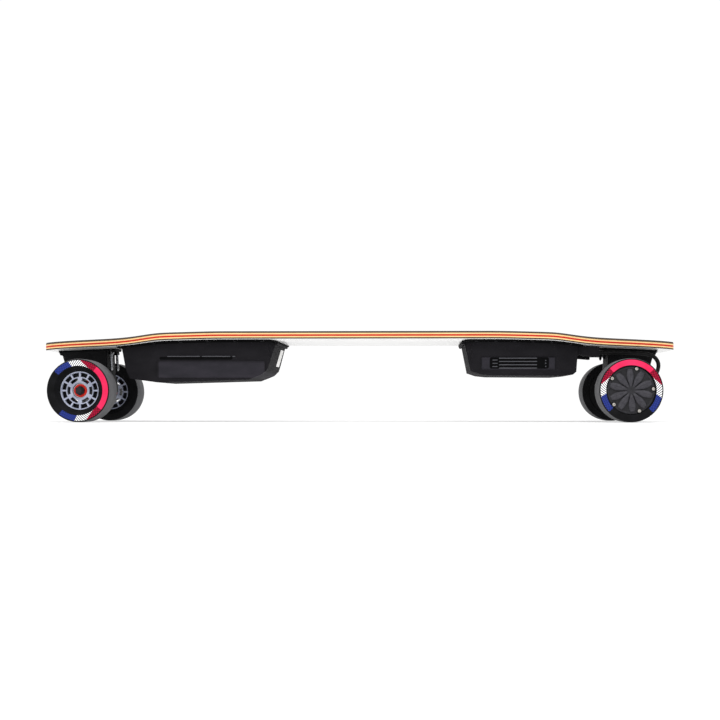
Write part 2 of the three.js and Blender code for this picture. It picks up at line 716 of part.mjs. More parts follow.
for (const [name, side] of [["left", -1], ["right", 1]]) {
  const frame = wheelFrame(FRONT_AXLE_X, side);
  const label = `front_${name}`;
  const [near, far] = BEARING_SPAN;
  const bore = FRONT_AXLE_RADIUS + GAP;
  addMesh(frame, `${label}_tyre`, tyre(FRONT_TYRE_BORE), finish.urethane);
  addMesh(frame, `${label}_core`, wheelCore(), finish.core);
  addMesh(frame, `${label}_outer_bearing`, ring(bore, BEARING_RADIUS, near, far), finish.steel);
  addMesh(frame, `${label}_inner_bearing`, ring(bore, BEARING_RADIUS, -far, -near), finish.steel);
  const nut = cut(
    rod(AXLE_NUT.cornerRadius, AXLE_NUT.low, AXLE_NUT.high, 6),
    rod(bore, AXLE_NUT.low - 1, AXLE_NUT.high + 1),
  );
  addMesh(frame, `${label}_axle_nut`, nut, finish.blackSteel);
}

for (const [name, side] of [["left", -1], ["right", 1]]) {
  const frame = wheelFrame(REAR_AXLE_X, side);
  const label = `rear_${name}`;
  const can = turned(
    [
      [REAR_BEARING_RADIUS + GAP, CAN_BACK],
      [MOTOR_RADIUS, CAN_BACK],
      [MOTOR_RADIUS, CAN_RIM],
      [CAN_INNER_RADIUS, CAN_RIM],
      [CAN_INNER_RADIUS, CAN_FLOOR],
      [REAR_BEARING_RADIUS + GAP, CAN_FLOOR],
      [REAR_BEARING_RADIUS + GAP, CAN_BACK],
    ],
    WHEEL_SIDES,
  );
  const cover = turned(
    [
      [0, COVER.back],
      [MOTOR_RADIUS, COVER.back],
      [MOTOR_RADIUS, COVER.edge],
      [COVER.radius, COVER.face],
      [0, COVER.face],
    ],
    WHEEL_SIDES,
  );
  const bore = REAR_AXLE_RADIUS + GAP;
  addMesh(frame, `${label}_tyre`, tyre(REAR_TYRE_BORE), finish.urethane);
  addMesh(frame, `${label}_motor_can`, can, finish.blackMetal);
  addMesh(frame, `${label}_motor_cover`, cover, finish.motorCover);
  const bearing = ring(bore, REAR_BEARING_RADIUS, ...REAR_BEARING_SPAN);
  addMesh(frame, `${label}_motor_bearing`, bearing, finish.steel);
  addMesh(frame, `${label}_stator`, ring(bore, STATOR.radius, STATOR.low, STATOR.high), finish.copper);
}

// ------------------------------------------------------------------------------------------------
// Battery case and controller case
// ------------------------------------------------------------------------------------------------

// Side silhouettes (X, Z), cross silhouettes (Y, Z) and the raised side pads of the two cases. cornerX
// holds the lengths of the corner cuts seen from above, and lip the place of the inner end's round lip.
const BATTERY = {
  chain: [
    [-364.5, 118], [-357.5, 82], [-350.5, 67], [-308, 61],
    [-166, 65], [-144.5, 73.8], [-136.8, 81], [-123.5, 126],
  ],
  cross: [[-86, 127], [-81, 66], [-75, 57], [75, 57], [81, 66], [86, 127]],
  pad: [[78, 66], [83.6, 68.5], [85.2, 90], [83.2, 96], [78, 98]],
  padX: [-307, -141],
  cornerX: [62, 14],
  lip: [-124, 121],
};
const CONTROLLER = {
  chain: [
    [164, 126], [174, 78], [188, 73.2], [204, 71.5], [310, 70.7],
    [330.5, 72.6], [336, 77], [338, 103], [338, 122],
  ],
  cross: [[-86, 127], [-83, 76], [-77, 67], [77, 67], [83, 76], [86, 127]],
  pad: [[80, 80], [85.3, 81.5], [86.4, 98.5], [84, 100], [80, 100]],
  padX: [191, 302],
  cornerX: [14, 37],
  lip: [163.5, 121],
};
const CASE_HALF_WIDTH = 86.5;
const LIP_RADIUS = 2.6;
const LIP_HALF_LENGTH = 78;
const LIP_SIDES = 12;
const PAD_BRIDGE_Z = [80, 85];
const TALL = 150;
const WIDE = [-90, 90];

// The space under the deck, which cuts the cases' open tops to the deck's underside.
function underDeck() {
  const roof = STATIONS.map((x) => [x, undersideAt(x) - GAP]).reverse();
  const floor = [[STATIONS[0], 0], [-STATIONS[0], 0]];
  return sideProfile([...floor, ...roof], [-DECK_HALF_WIDTH, DECK_HALF_WIDTH]);
}

function caseOutline({ chain, cornerX }, inset) {
  const x = [chain[0][0] + inset, chain[chain.length - 1][0] - inset];
  const y = CASE_HALF_WIDTH - inset;
  const c = CASE_CORNER - inset / 2;
  const a = x[0] + cornerX[0];
  const b = x[1] - cornerX[1];
  return polygon([
    [a, -y], [b, -y], [x[1], c - y], [x[1], y - c],
    [b, y], [a, y], [x[0], y - c], [x[0], c - y],
  ]);
}

// Carries a silhouette's two ends straight up.
function raised(points) {
  return [[points[0][0], TALL], ...points, [points[points.length - 1][0], TALL]];
}

// One case body: the overlap of its side, cross and plan silhouettes.
function caseBody(shape, inset) {
  const { chain, cross } = shape;
  const side = inset > 0 ? insetChain(chain, inset) : chain;
  const section = inset > 0 ? insetChain(cross, inset) : cross;
  return common(
    sideProfile(raised(side), WIDE),
    crossProfile(raised(section), [chain[0][0] - 5, chain[chain.length - 1][0] + 5]),
    plan(caseOutline(shape, inset), [0, TALL]),
  );
}

// The pads on both sides, with a bar between them, cut to the case's side silhouette. The case's hollow
// takes the bar away.
function sidePads({ chain, pad, padX }) {
  const other = pad.map(([y, z]) => [-y, z]).reverse();
  const bridge = box(padX, [-pad[0][0], pad[0][0]], PAD_BRIDGE_Z);
  const blocks = joined(crossProfile(pad, padX), bridge, crossProfile(other, padX));
  return common(blocks, sideProfile(raised(chain), WIDE));
}

function endLip([x, z]) {
  const bead = rod(LIP_RADIUS, -LIP_HALF_LENGTH, LIP_HALF_LENGTH, LIP_SIDES);
  return bead.rotateX(Math.PI / 2).translate(x, 0, z);
}

// A case with its pads and lip, hollow and open towards the deck. extras are joined to it.
function caseShell(shape, ...extras) {
  const outside = joined(caseBody(shape, 0), sidePads(shape), endLip(shape.lip), ...extras);
  return common(cut(outside, caseBody(shape, CASE_WALL)), underDeck());
}

// Charge port and power button on the right side of the battery case
const PORT = { x: -200, z: 106, radius: 7, socketRadius: 5, back: 74, floor: 77, face: 88.3 };
const BUTTON = { x: -240, z: 106, radius: 6, back: 78, face: 89.2, chamfer: 0.8 };
const PANEL = { margin: 16, y: [76, 87], z: [96, 117] };
const HOLE_ENDS = [60, 95];
const CAP = { radius: 9.5, y: [88.9, 91.5], tongueHalfWidth: 4, tongueDrop: [13, 5] };
const PACK = { x: [-316, -172], y: [-68, 68], z: [69, 115] };
const CIRCUIT_BOARD = { x: [192, 322], y: [-62, 62], z: [92, 96] };

// Turns a piece made along +Z to point out of the right side, on the axis of the port or the button.
function throughSide(geometry, { x, z }) {
  return geometry.rotateX(-Math.PI / 2).translate(x, 0, z);
}

const panel = box([BUTTON.x - PANEL.margin, PORT.x + PANEL.margin], PANEL.y, PANEL.z);
const portHole = throughSide(rod(PORT.radius + GAP, ...HOLE_ENDS), PORT);
const buttonHole = throughSide(rod(BUTTON.radius + GAP, ...HOLE_ENDS), BUTTON);
addMesh(board, "battery_case", cut(caseShell(BATTERY, panel), portHole, buttonHole), finish.casePlastic);
addMesh(board, "battery_pack", box(PACK.x, PACK.y, PACK.z), finish.cellWrap);

const portBody = turned(
  [
    [0, PORT.back],
    [PORT.radius, PORT.back],
    [PORT.radius, PORT.face],
    [PORT.socketRadius, PORT.face],
    [PORT.socketRadius, PORT.floor],
    [0, PORT.floor],
  ],
  ROUND_SIDES,
);
addMesh(board, "charge_port", throughSide(portBody, PORT), finish.blackMetal);
const capDisc = throughSide(rod(CAP.radius, ...CAP.y), PORT);
const capTongue = box(
  [PORT.x - CAP.tongueHalfWidth, PORT.x + CAP.tongueHalfWidth],
  CAP.y,
  CAP.tongueDrop.map((drop) => PORT.z - drop),
);
addMesh(board, "charge_port_cap", joined(capDisc, capTongue), finish.rubber);
const buttonBody = turned(
  [
    [0, BUTTON.back],
    [BUTTON.radius, BUTTON.back],
    [BUTTON.radius, BUTTON.face - BUTTON.chamfer],
    [BUTTON.radius - BUTTON.chamfer, BUTTON.face],
    [0, BUTTON.face],
  ],
  ROUND_SIDES,
);
addMesh(board, "power_button", throughSide(buttonBody, BUTTON), finish.button);

// Strain reliefs on the controller case's outer end, one for each motor cable
const RELIEF = [[336, 103.8], [345, 103], [349, 101.6], [372, 99.6], [372, 118], [336, 118]];
const RELIEF_Y = [48, 68];
const FAR_RELIEF_Y = RELIEF_Y.map((y) => -y).reverse();
const reliefs = [RELIEF_Y, FAR_RELIEF_Y].map((y) => sideProfile(RELIEF, y));
addMesh(board, "controller_case", caseShell(CONTROLLER, ...reliefs), finish.casePlastic);
addMesh(board, "controller_board", box(CIRCUIT_BOARD.x, CIRCUIT_BOARD.y, CIRCUIT_BOARD.z), finish.board);

// ------------------------------------------------------------------------------------------------
// Motor cables: from the strain reliefs along the deck, down in a loop and forward into the rear hanger
// ------------------------------------------------------------------------------------------------

const CABLE_RADIUS = 3.2;
const CABLE_STEPS = 28;
const CABLE_ROUTE = [
  [372.4, 58, 106.6],
  [385, 58, 106.6],
  [405, 58, 106.6],
  [436, 58, 105.6],
  [453, 58, 102.5],
  [462, 57.5, 94],
  [463.5, 56.5, 83],
  [458, 55, 70],
  [447, 53.5, 58],
  [435, 52.5, 51],
  [423.4, 52, 48.6],
];

function cable(side) {
  const points = CABLE_ROUTE.map(([x, y, z]) => new THREE.Vector3(x, side * y, z));
  const path = new THREE.CatmullRomCurve3(points);
  const section = new THREE.Shape();
  section.absarc(0, 0, CABLE_RADIUS, 0, 2 * Math.PI);
  return new THREE.ExtrudeGeometry(section, {
    steps: CABLE_STEPS,
    curveSegments: SMALL_SIDES / 2,
    extrudePath: path,
    bevelEnabled: false,
  });
}

addMesh(board, "left_motor_cable", cable(-1), finish.rubber);
addMesh(board, "right_motor_cable", cable(1), finish.rubber);

export default board;
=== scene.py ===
"""Looks for the electric skateboard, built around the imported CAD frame. Lengths are millimetres until a
mesh is made, and every object is then in metres, in the CAD frame: +X rear, -Y left, +Z up."""

import math

import bmesh
import bpy
from mathutils import Matrix, Vector


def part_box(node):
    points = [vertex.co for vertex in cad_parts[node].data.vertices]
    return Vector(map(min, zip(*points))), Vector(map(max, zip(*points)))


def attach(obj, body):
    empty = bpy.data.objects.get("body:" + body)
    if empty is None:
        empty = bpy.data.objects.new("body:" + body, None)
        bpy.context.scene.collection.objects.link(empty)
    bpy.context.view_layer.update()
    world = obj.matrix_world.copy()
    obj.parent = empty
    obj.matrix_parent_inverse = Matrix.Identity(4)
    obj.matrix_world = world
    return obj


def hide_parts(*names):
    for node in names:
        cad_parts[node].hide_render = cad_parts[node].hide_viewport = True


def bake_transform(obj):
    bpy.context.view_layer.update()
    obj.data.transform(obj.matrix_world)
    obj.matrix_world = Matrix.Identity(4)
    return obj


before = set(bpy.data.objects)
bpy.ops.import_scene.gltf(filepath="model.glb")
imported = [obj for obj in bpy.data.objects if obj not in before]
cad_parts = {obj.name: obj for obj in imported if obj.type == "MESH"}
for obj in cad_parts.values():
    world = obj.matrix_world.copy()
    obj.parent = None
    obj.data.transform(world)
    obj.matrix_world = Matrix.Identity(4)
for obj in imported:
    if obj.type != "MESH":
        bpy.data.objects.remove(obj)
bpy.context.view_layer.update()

MM = 0.001
LEFT, RIGHT = -1, 1
SIDES = (("left", LEFT), ("right", RIGHT))


def middle(node):
    low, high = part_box(node)
    return (low + high) / 2 / MM


# ---- Camera, light and floor, in metres ----

CAMERA_PLACE = (0.0935, -2.090, 0.0277)
LENS = 65.66
SENSOR_WIDTH = 36
SHIFT = (-0.0261, 0.0611)
YAW = math.radians(1.7)
CLIP_START = 0.05
SKY_STRENGTH = 1.04
SOFTBOXES = [
    # name, place, target, size, watts
    ("top_softbox", (0, -0.5, 1.7), (0, 0, 0), (2.2, 0.8), 24),
    ("front_softbox", (0.2, -2.3, 0.9), (0, 0, 0.06), (2.4, 0.8), 8),
]
FLOOR_REACH = 6000
FLOOR_GREYS = (0.46, 0.48)
FLOOR_GLOW = 0.5
FLOOR_GAP = 0.0002


def add_camera():
    data = bpy.data.cameras.new("camera")
    data.lens = LENS
    data.sensor_width = SENSOR_WIDTH
    data.shift_x, data.shift_y = SHIFT
    data.clip_start = CLIP_START
    camera = bpy.data.objects.new("camera", data)
    camera.location = CAMERA_PLACE
    camera.rotation_euler = (math.pi / 2, 0, YAW)
    bpy.context.scene.collection.objects.link(camera)
    bpy.context.scene.camera = camera


def add_area_light(name, place, target, size, power):
    data = bpy.data.lights.new(name, "AREA")
    data.shape = "RECTANGLE"
    data.size, data.size_y = size
    data.energy = power
    light = bpy.data.objects.new(name, data)
    light.location = place
    light.rotation_euler = (Vector(target) - Vector(place)).to_track_quat("-Z", "Y").to_euler()
    bpy.context.scene.collection.objects.link(light)


def add_studio():
    world = bpy.data.worlds.new("studio")
    world.use_nodes = True
    background = world.node_tree.nodes["Background"]
    background.inputs["Color"].default_value = (1, 1, 1, 1)
    background.inputs["Strength"].default_value = SKY_STRENGTH
    bpy.context.scene.world = world
    for softbox in SOFTBOXES:
        add_area_light(*softbox)
    bpy.context.scene.view_settings.view_transform = "Standard"
    bpy.context.scene.view_settings.look = "None"


def add_floor():
    reach = FLOOR_REACH
    verts = [(-reach, -reach, 0), (reach, -reach, 0), (reach, reach, 0), (-reach, reach, 0)]
    low, high = ((grey, grey, grey, 1) for grey in FLOOR_GREYS)
    m = Nodes("studio_floor", 0.85)
    m.color(m.ramp(m.noise(3, 2), low, high))
    m.surface("Emission Color", (1, 1, 1, 1))
    m.surface("Emission Strength", FLOOR_GLOW)
    floor = make_object("floor", verts, [[0, 1, 2, 3]], m.material)
    floor.location.z = -FLOOR_GAP


# ---- Mesh helpers ----


def make_object(name, verts, faces, material, matrix=None):
    """A mesh object from points in millimetres. matrix places it in the CAD frame, in metres."""
    mesh = bpy.data.meshes.new(name)
    mesh.from_pydata([tuple(c * MM for c in v) for v in verts], [], faces)
    grid = bmesh.new()
    grid.from_mesh(mesh)
    bmesh.ops.remove_doubles(grid, verts=grid.verts, dist=1e-7)
    bmesh.ops.recalc_face_normals(grid, faces=grid.faces)
    grid.to_mesh(mesh)
    grid.free()
    mesh.polygons.foreach_set("use_smooth", [True] * len(mesh.polygons))
    mesh.materials.append(material)
    obj = bpy.data.objects.new(name, mesh)
    if matrix is not None:
        obj.matrix_world = matrix
    bpy.context.scene.collection.objects.link(obj)
    return obj


def settle(obj, body, slot, *nodes):
    """Rides a piece on its body and hides the CAD nodes that it stands for."""
    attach(obj, body)
    if nodes:
        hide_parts(*nodes)


def mark_sharp_edges(obj, angle):
    """Marks the sharp edges of a smooth-shaded mesh, so flat faces stay flat."""
    grid = bmesh.new()
    grid.from_mesh(obj.data)
    for edge in grid.edges:
        if len(edge.link_faces) == 2 and edge.calc_face_angle(0) > math.radians(angle):
            edge.smooth = False
    grid.to_mesh(obj.data)
    grid.free()


def add_piece(name, part, look, slot, *nodes, place=None, body="board", split=40):
    """Makes a piece from (points, faces), marks its edges sharper than the split angle and sets it on its
    body."""
    obj = make_object(name, *part, materials[look], place)
    mark_sharp_edges(obj, split)
    settle(obj, body, slot, *nodes)


def add_bevel(obj, width, segments=3, angle=28, tidy=True):
    """Rounds the sharp edges of a faceted piece and keeps its round faces smooth."""
    if tidy:
        planar = obj.modifiers.new("planar", "DECIMATE")
        planar.decimate_type = "DISSOLVE"
        planar.angle_limit = math.radians(1)
    bevel = obj.modifiers.new("bevel", "BEVEL")
    bevel.width = width * MM
    bevel.segments = segments
    bevel.limit_method = "ANGLE"
    bevel.angle_limit = math.radians(angle)
    bevel.harden_normals = True
    bevel.miter_outer = "MITER_ARC"
    obj.data.polygons.foreach_set("use_smooth", [True] * len(obj.data.polygons))


def filleted(points, radius, steps, closed=True):
    """A polyline with its corners rounded. A point may carry its own radius as a third value."""
    out = []
    count = len(points)
    for i, point in enumerate(points):
        here = Vector(point[:2])
        own = point[2] if len(point) > 2 else radius
        if own <= 0 or (not closed and i in (0, count - 1)):
            out.append(tuple(here))
            continue
        before = Vector(points[i - 1][:2]) - here
        after = Vector(points[(i + 1) % count][:2]) - here
        corner = before.angle(after)
        reach = min(own / math.tan(corner / 2), 0.49 * before.length, 0.49 * after.length)
        start = here + before.normalized() * reach
        end = here + after.normalized() * reach
        for k in range(steps + 1):
            t = k / steps
            out.append(tuple((1 - t) ** 2 * start + 2 * t * (1 - t) * here + t * t * end))
    return out


def round_angles(count):
    return [2 * math.pi * i / count for i in range(count)]


def round_point(radius, angle, height):
    """The point at an angle round +Z."""
    return (radius * math.cos(angle), radius * math.sin(angle), height)


def lathe(profile, segments, closed=True):
    """Points and faces of a solid of revolution about +Z from (radius, height) points, each a pair or a
    function of the angle. A closed profile joins its last point to its first."""
    verts = []
    faces = []
    count = len(profile)
    for angle in round_angles(segments):
        for point in profile:
            radius, height = point(angle) if callable(point) else point
            verts.append(round_point(radius, angle, height))
    on_axis = [verts[k][0] < 1e-6 for k in range(count)]
    for i in range(segments):
        j = (i + 1) % segments
        for k in range(count if closed else count - 1):
            n = (k + 1) % count
            corners = [i * count + k, j * count + k, j * count + n, i * count + n]
            if on_axis[k]:
                corners.pop(1)
            elif on_axis[n]:
                corners.pop(2)
            faces.append(corners)
    return verts, faces


def joined(*parts):
    verts = []
    faces = []
    for part_verts, part_faces in parts:
        base = len(verts)
        verts += part_verts
        faces += [[base + i for i in face] for face in part_faces]
    return verts, faces


def moved(part, matrix):
    verts, faces = part
    return [tuple(matrix @ Vector(v)) for v in verts], faces


def skinned(rings):
    """Joins rings of points, all with the same count, into one closed surface with a face over each end."""
    count = len(rings[0])
    verts = [tuple(point) for ring in rings for point in ring]
    faces = [list(range(count)), list(range((len(rings) - 1) * count, len(rings) * count))]
    for row in range(len(rings) - 1):
        for i in range(count):
            j = (i + 1) % count
            faces.append([row * count + i, row * count + j, (row + 1) * count + j, (row + 1) * count + i])
    return verts, faces


def mean(ends):
    return (ends[0] + ends[1]) / 2


def rounded_rectangle(u, v, radius, inset, steps=6):
    """Points of a rectangle with round corners, pulled in by the inset."""
    points = []
    for turn, (cu, cv) in enumerate(((u[1], v[1]), (u[0], v[1]), (u[0], v[0]), (u[1], v[0]))):
        corner_u = cu - math.copysign(radius, cu - mean(u))
        corner_v = cv - math.copysign(radius, cv - mean(v))
        for k in range(steps + 1):
            angle = math.pi / 2 * (turn + k / steps)
            reach = radius - inset
            points.append((corner_u + reach * math.cos(angle), corner_v + reach * math.sin(angle)))
    return points


def raised_patch(u, v, radius, height, chamfer):
    """A flat-topped relief on a wall: u and v lie in the wall, and the third axis points out of it."""
    levels = [(-0.5, 0), (height - chamfer, 0), (height - 0.3 * chamfer, 0.3 * chamfer), (height, chamfer)]
    rings = []
    for out, inset in levels:
        rings.append([(a, b, out) for a, b in rounded_rectangle(u, v, radius, inset)])
    return skinned(rings)


def shift(x, y, z):
    return Matrix.Translation((x, y, z))


def on_wall(place, along, up):
    """The frame of a wall in millimetres: first axis along it, second up it, third out of it."""
    along = Vector(along).normalized()
    up = Vector(up).normalized()
    turn = Matrix((along, up, along.cross(up))).transposed().to_4x4()
    return Matrix.Translation(place) @ turn


def smooth_route(points, steps):
    """A Catmull-Rom curve through the points, with some steps between each two."""
    points = [Vector(point) for point in points]
    ends = [2 * points[0] - points[1]] + points + [2 * points[-1] - points[-2]]
    route = []
    for i in range(1, len(ends) - 2):
        a, b, c, d = ends[i - 1 : i + 3]
        for k in range(steps):
            t = k / steps
            straight = 2 * b + (c - a) * t
            curve = straight + (2 * a - 5 * b + 4 * c - d) * t**2 + (3 * b - a - 3 * c + d) * t**3
            route.append(0.5 * curve)
    return route + [points[-1]]


def tube(route, radius, sides):
    """A round tube along a route. radius is a function of the distance along it."""
    rings = []
    distance = 0
    side = Vector((0, 1, 0))
    angles = round_angles(sides)
    for i, point in enumerate(route):
        ahead = route[min(i + 1, len(route) - 1)] - route[max(i - 1, 0)]
        if i:
            distance += (point - route[i - 1]).length
        side = (side - side.project(ahead)).normalized()
        other = ahead.normalized().cross(side)
        reach = radius(distance)
        rings.append([point + reach * (math.cos(a) * side + math.sin(a) * other) for a in angles])
    return skinned(rings)


# ---- Materials ----

SHINE = 0.16


def srgb(red, green, blue):
    """A shader colour from 0 to 255 screen values."""
    color = []
    for c in (red, green, blue):
        color.append(((c / 255 + 0.055) / 1.055) ** 2.4 if c > 10 else c / 255 / 12.92)
    return (*color, 1)


class Nodes:
    """A small helper that adds shader nodes to one material."""

    def __init__(self, name, roughness, shine=SHINE, metallic=0.0):
        self.material = bpy.data.materials.new(name)
        self.material.use_nodes = True
        self.tree = self.material.node_tree
        self.shader = self.tree.nodes["Principled BSDF"]
        self.surface("Roughness", roughness)
        self.surface("Metallic", metallic)
        self.surface("Specular IOR Level", shine)

    def surface(self, name, value):
        """Sets one input of the surface shader to a value or to a node's output."""
        self.set(self.shader.inputs[name], value)

    def add(self, kind, **values):
        node = self.tree.nodes.new(kind)
        for key, value in values.items():
            if hasattr(node, key):
                setattr(node, key, value)
            else:
                self.set(node.inputs[key.replace("_", " ").title()], value)
        return node

    def set(self, socket, value):
        if isinstance(value, bpy.types.NodeSocket):
            self.tree.links.new(value, socket)
        else:
            socket.default_value = value

    def coordinates(self, scale=(1, 1, 1)):
        source = self.add("ShaderNodeTexCoord")
        mapping = self.add("ShaderNodeMapping", scale=scale)
        self.set(mapping.inputs["Vector"], source.outputs["Object"])
        return mapping.outputs["Vector"]

    def axes(self):
        """The object's own x, y and z, in metres."""
        split = self.add("ShaderNodeSeparateXYZ")
        self.set(split.inputs["Vector"], self.coordinates())
        return (split.outputs[axis] for axis in "XYZ")

    def noise(self, scale, detail, stretch=(1, 1, 1), roughness=0.5):
        node = self.add("ShaderNodeTexNoise", scale=scale, detail=detail, roughness=roughness)
        self.set(node.inputs["Vector"], self.coordinates(stretch))
        return node.outputs["Fac"]

    def math(self, operation, *values):
        node = self.add("ShaderNodeMath", operation=operation)
        for i, value in enumerate(values):
            self.set(node.inputs[i], value)
        return node.outputs[0]

    def times(self, a, b):
        return self.math("MULTIPLY", a, b)

    def mix(self, factor, low, high):
        node = self.add("ShaderNodeMix", data_type="RGBA", factor=factor, a=low, b=high)
        return node.outputs["Result"]

    def ramp(self, factor, low, high, at=(0.35, 0.65)):
        node = self.add("ShaderNodeValToRGB")
        node.color_ramp.elements[0].position, node.color_ramp.elements[1].position = at
        node.color_ramp.elements[0].color = low
        node.color_ramp.elements[1].color = high
        self.set(node.inputs["Fac"], factor)
        return node.outputs["Color"]

    def fade(self, value, start, end):
        """0 at the start value and 1 at the end value."""
        node = self.add("ShaderNodeMapRange", value=value, from_min=start, from_max=end)
        return node.outputs["Result"]

    def range(self, factor, low, high):
        node = self.add("ShaderNodeMapRange", value=factor, to_min=low, to_max=high)
        return node.outputs["Result"]

    def color(self, value):
        self.surface("Base Color", value)

    def bump(self, height, strength, distance):
        node = self.add("ShaderNodeBump", strength=strength, distance=distance * MM)
        self.set(node.inputs["Height"], height)
        self.surface("Normal", node.outputs["Normal"])

    def finish(self, marks, roughness, bump):
        """Spreads the roughness over the marks and adds a (height, strength, distance) bump."""
        self.surface("Roughness", self.range(marks, *roughness))
        self.bump(*bump)
        return self.material


def shade(color, factor):
    return tuple(min(1, c * factor) for c in color[:3]) + (1,)


def veneer_material(name, color, pore):
    """Wood whose grain runs along the board: long streaks, fine pores and slow colour drift."""
    m = Nodes(name, 0.42)
    streaks = m.noise(14, 5, (2.2, 40, 60), 0.6)
    pores = m.noise(60, 3, (1.5, 30, 60), 0.6)
    drift = m.noise(9, 2)
    tone = m.ramp(streaks, shade(color, 0.8), shade(color, 1.1))
    tone = m.mix(m.range(pores, -0.5, 0.75), tone, pore)
    m.color(m.mix(m.range(drift, 0, 0.35), tone, shade(color, 0.86)))
    return m.finish(streaks, (0.34, 0.52), (pores, 0.25, 0.15))


def film_material():
    """Pale glass-fibre film: a fine crossed weave under lacquer."""
    m = Nodes("underside_film", 0.3)
    weave = m.add("ShaderNodeTexChecker", scale=900.0)
    m.set(weave.inputs["Vector"], m.coordinates())
    cloud = m.noise(25, 4)
    base = m.ramp(cloud, srgb(222, 221, 220), srgb(231, 230, 228))
    m.color(m.mix(m.times(weave.outputs["Fac"], 0.06), base, srgb(150, 150, 152)))
    m.bump(weave.outputs["Fac"], 0.08, 0.05)
    m.surface("Coat Weight", 0.4)
    return m.material


def grip_material():
    """Abrasive grit on a black backing, with brighter specks and scuffed patches."""
    m = Nodes("grip_grit", 0.95)
    grit = m.noise(1900, 4, (1, 1, 1), 0.7)
    scuffs = m.noise(11, 5)
    tone = m.ramp(grit, srgb(18, 18, 20), srgb(64, 64, 67), (0.45, 0.72))
    m.color(m.mix(m.range(scuffs, 0, 0.3), tone, srgb(44, 44, 46)))
    return m.finish(grit, (0.85, 1.0), (grit, 0.9, 0.4))


def moulded_material(name, color, roughness=0.5, texture=2600, depth=0.06, shine=SHINE):
    """Moulded plastic or rubber with a fine spark-eroded texture and faint handling marks."""
    m = Nodes(name, roughness, shine)
    fine = m.noise(texture, 2)
    marks = m.noise(30, 5, (1, 1, 2.5))
    m.color(m.ramp(marks, shade(color, 0.85), shade(color, 1.15)))
    return m.finish(marks, (roughness - 0.08, min(1, roughness + 0.1)), (fine, 0.35, depth))


# The (x, z) ends of the pads on the side walls of the battery case and the controller case, painted paler
# as a painted highlight where they catch the light
PAINTED_HIGHLIGHT_PADS = [((-304, -141), (68, 93)), ((191, 302), (80, 99))]


def case_material():
    """Moulded case plastic, with a painted highlight: paler on the pads of the side walls, where they catch
    the light.
    """
    m = Nodes("case_plastic", 0.78, 0.07)
    x, _, z = m.axes()
    x, z = m.times(x, 1 / MM), m.times(z, 1 / MM)

    def within(value, ends):
        low, high = ends
        rise = m.fade(value, low - 1, low + 1)
        return m.times(rise, m.fade(value, high + 1, high - 1))

    battery_pad_highlight, controller_pad_highlight = (
        m.times(within(x, wide), within(z, tall)) for wide, tall in PAINTED_HIGHLIGHT_PADS
    )
    marks = m.noise(30, 5, (1, 1, 2.5))
    plain = m.ramp(marks, srgb(27, 26, 29), srgb(33, 32, 35))
    pale = m.ramp(marks, srgb(42, 41, 46), srgb(50, 48, 54))
    # painted highlight: the pads are painted paler where light falls on them
    m.color(m.mix(m.math("ADD", battery_pad_highlight, controller_pad_highlight), plain, pale))
    return m.finish(marks, (0.7, 0.88), (m.noise(2600, 2), 0.35, 0.06))


def metal_material(name, color, roughness, grain=(1, 1, 12)):
    """Turned or plated metal with fine drawn lines and small stains."""
    m = Nodes(name, roughness, 0.5, metallic=1.0)
    lines = m.noise(260, 4, grain)
    stains = m.noise(90, 4)
    m.color(m.mix(m.range(stains, -0.3, 0.5), color, shade(color, 0.62)))
    return m.finish(lines, (roughness * 0.7, roughness * 1.5), (lines, 0.12, 0.05))


def coated_material(name, color, roughness=0.42):
    """Powder-coated cast metal: orange peel, and paler and darker in loose patches."""
    m = Nodes(name, roughness, 0.1)
    peel = m.noise(700, 3)
    patches = m.noise(45, 4)
    m.color(m.ramp(patches, shade(color, 0.8), shade(color, 1.25)))
    return m.finish(peel, (roughness - 0.07, roughness + 0.12), (peel, 0.25, 0.12))


def polar(m):
    """Radius in millimetres and angle in degrees, measured round the wheel's own axis from its local +X."""
    x, y, z = m.axes()
    squares = m.math("ADD", m.times(x, x), m.times(y, y))
    radius = m.times(m.math("SQRT", squares), 1 / MM)
    angle = m.times(m.math("ARCTAN2", y, x), 180 / math.pi)
    return radius, angle, m.times(z, 1 / MM)


BAND = (37.4, 45.7)
# From this radius out the tread takes a paler grey, a painted sheen
TREAD_START = 47.3
FACE_HEIGHT = 26.2
# Where each part of the tyre's print ends, in degrees from the middle of the pink part, and its edge's lean
PINK_END = 45.4
RED_END, RED_LEAN, RED_CURVE = 57.0, 23.0, 0.6
WHITE_END, WHITE_LEAN = 98.0, -5.0
BLUE_END = 135.0
CHECK_SIZE = 1.7
STRIPE_PERIOD, STRIPE_SLANT, STRIPE_GAP = 3.5, 0.8, 0.42


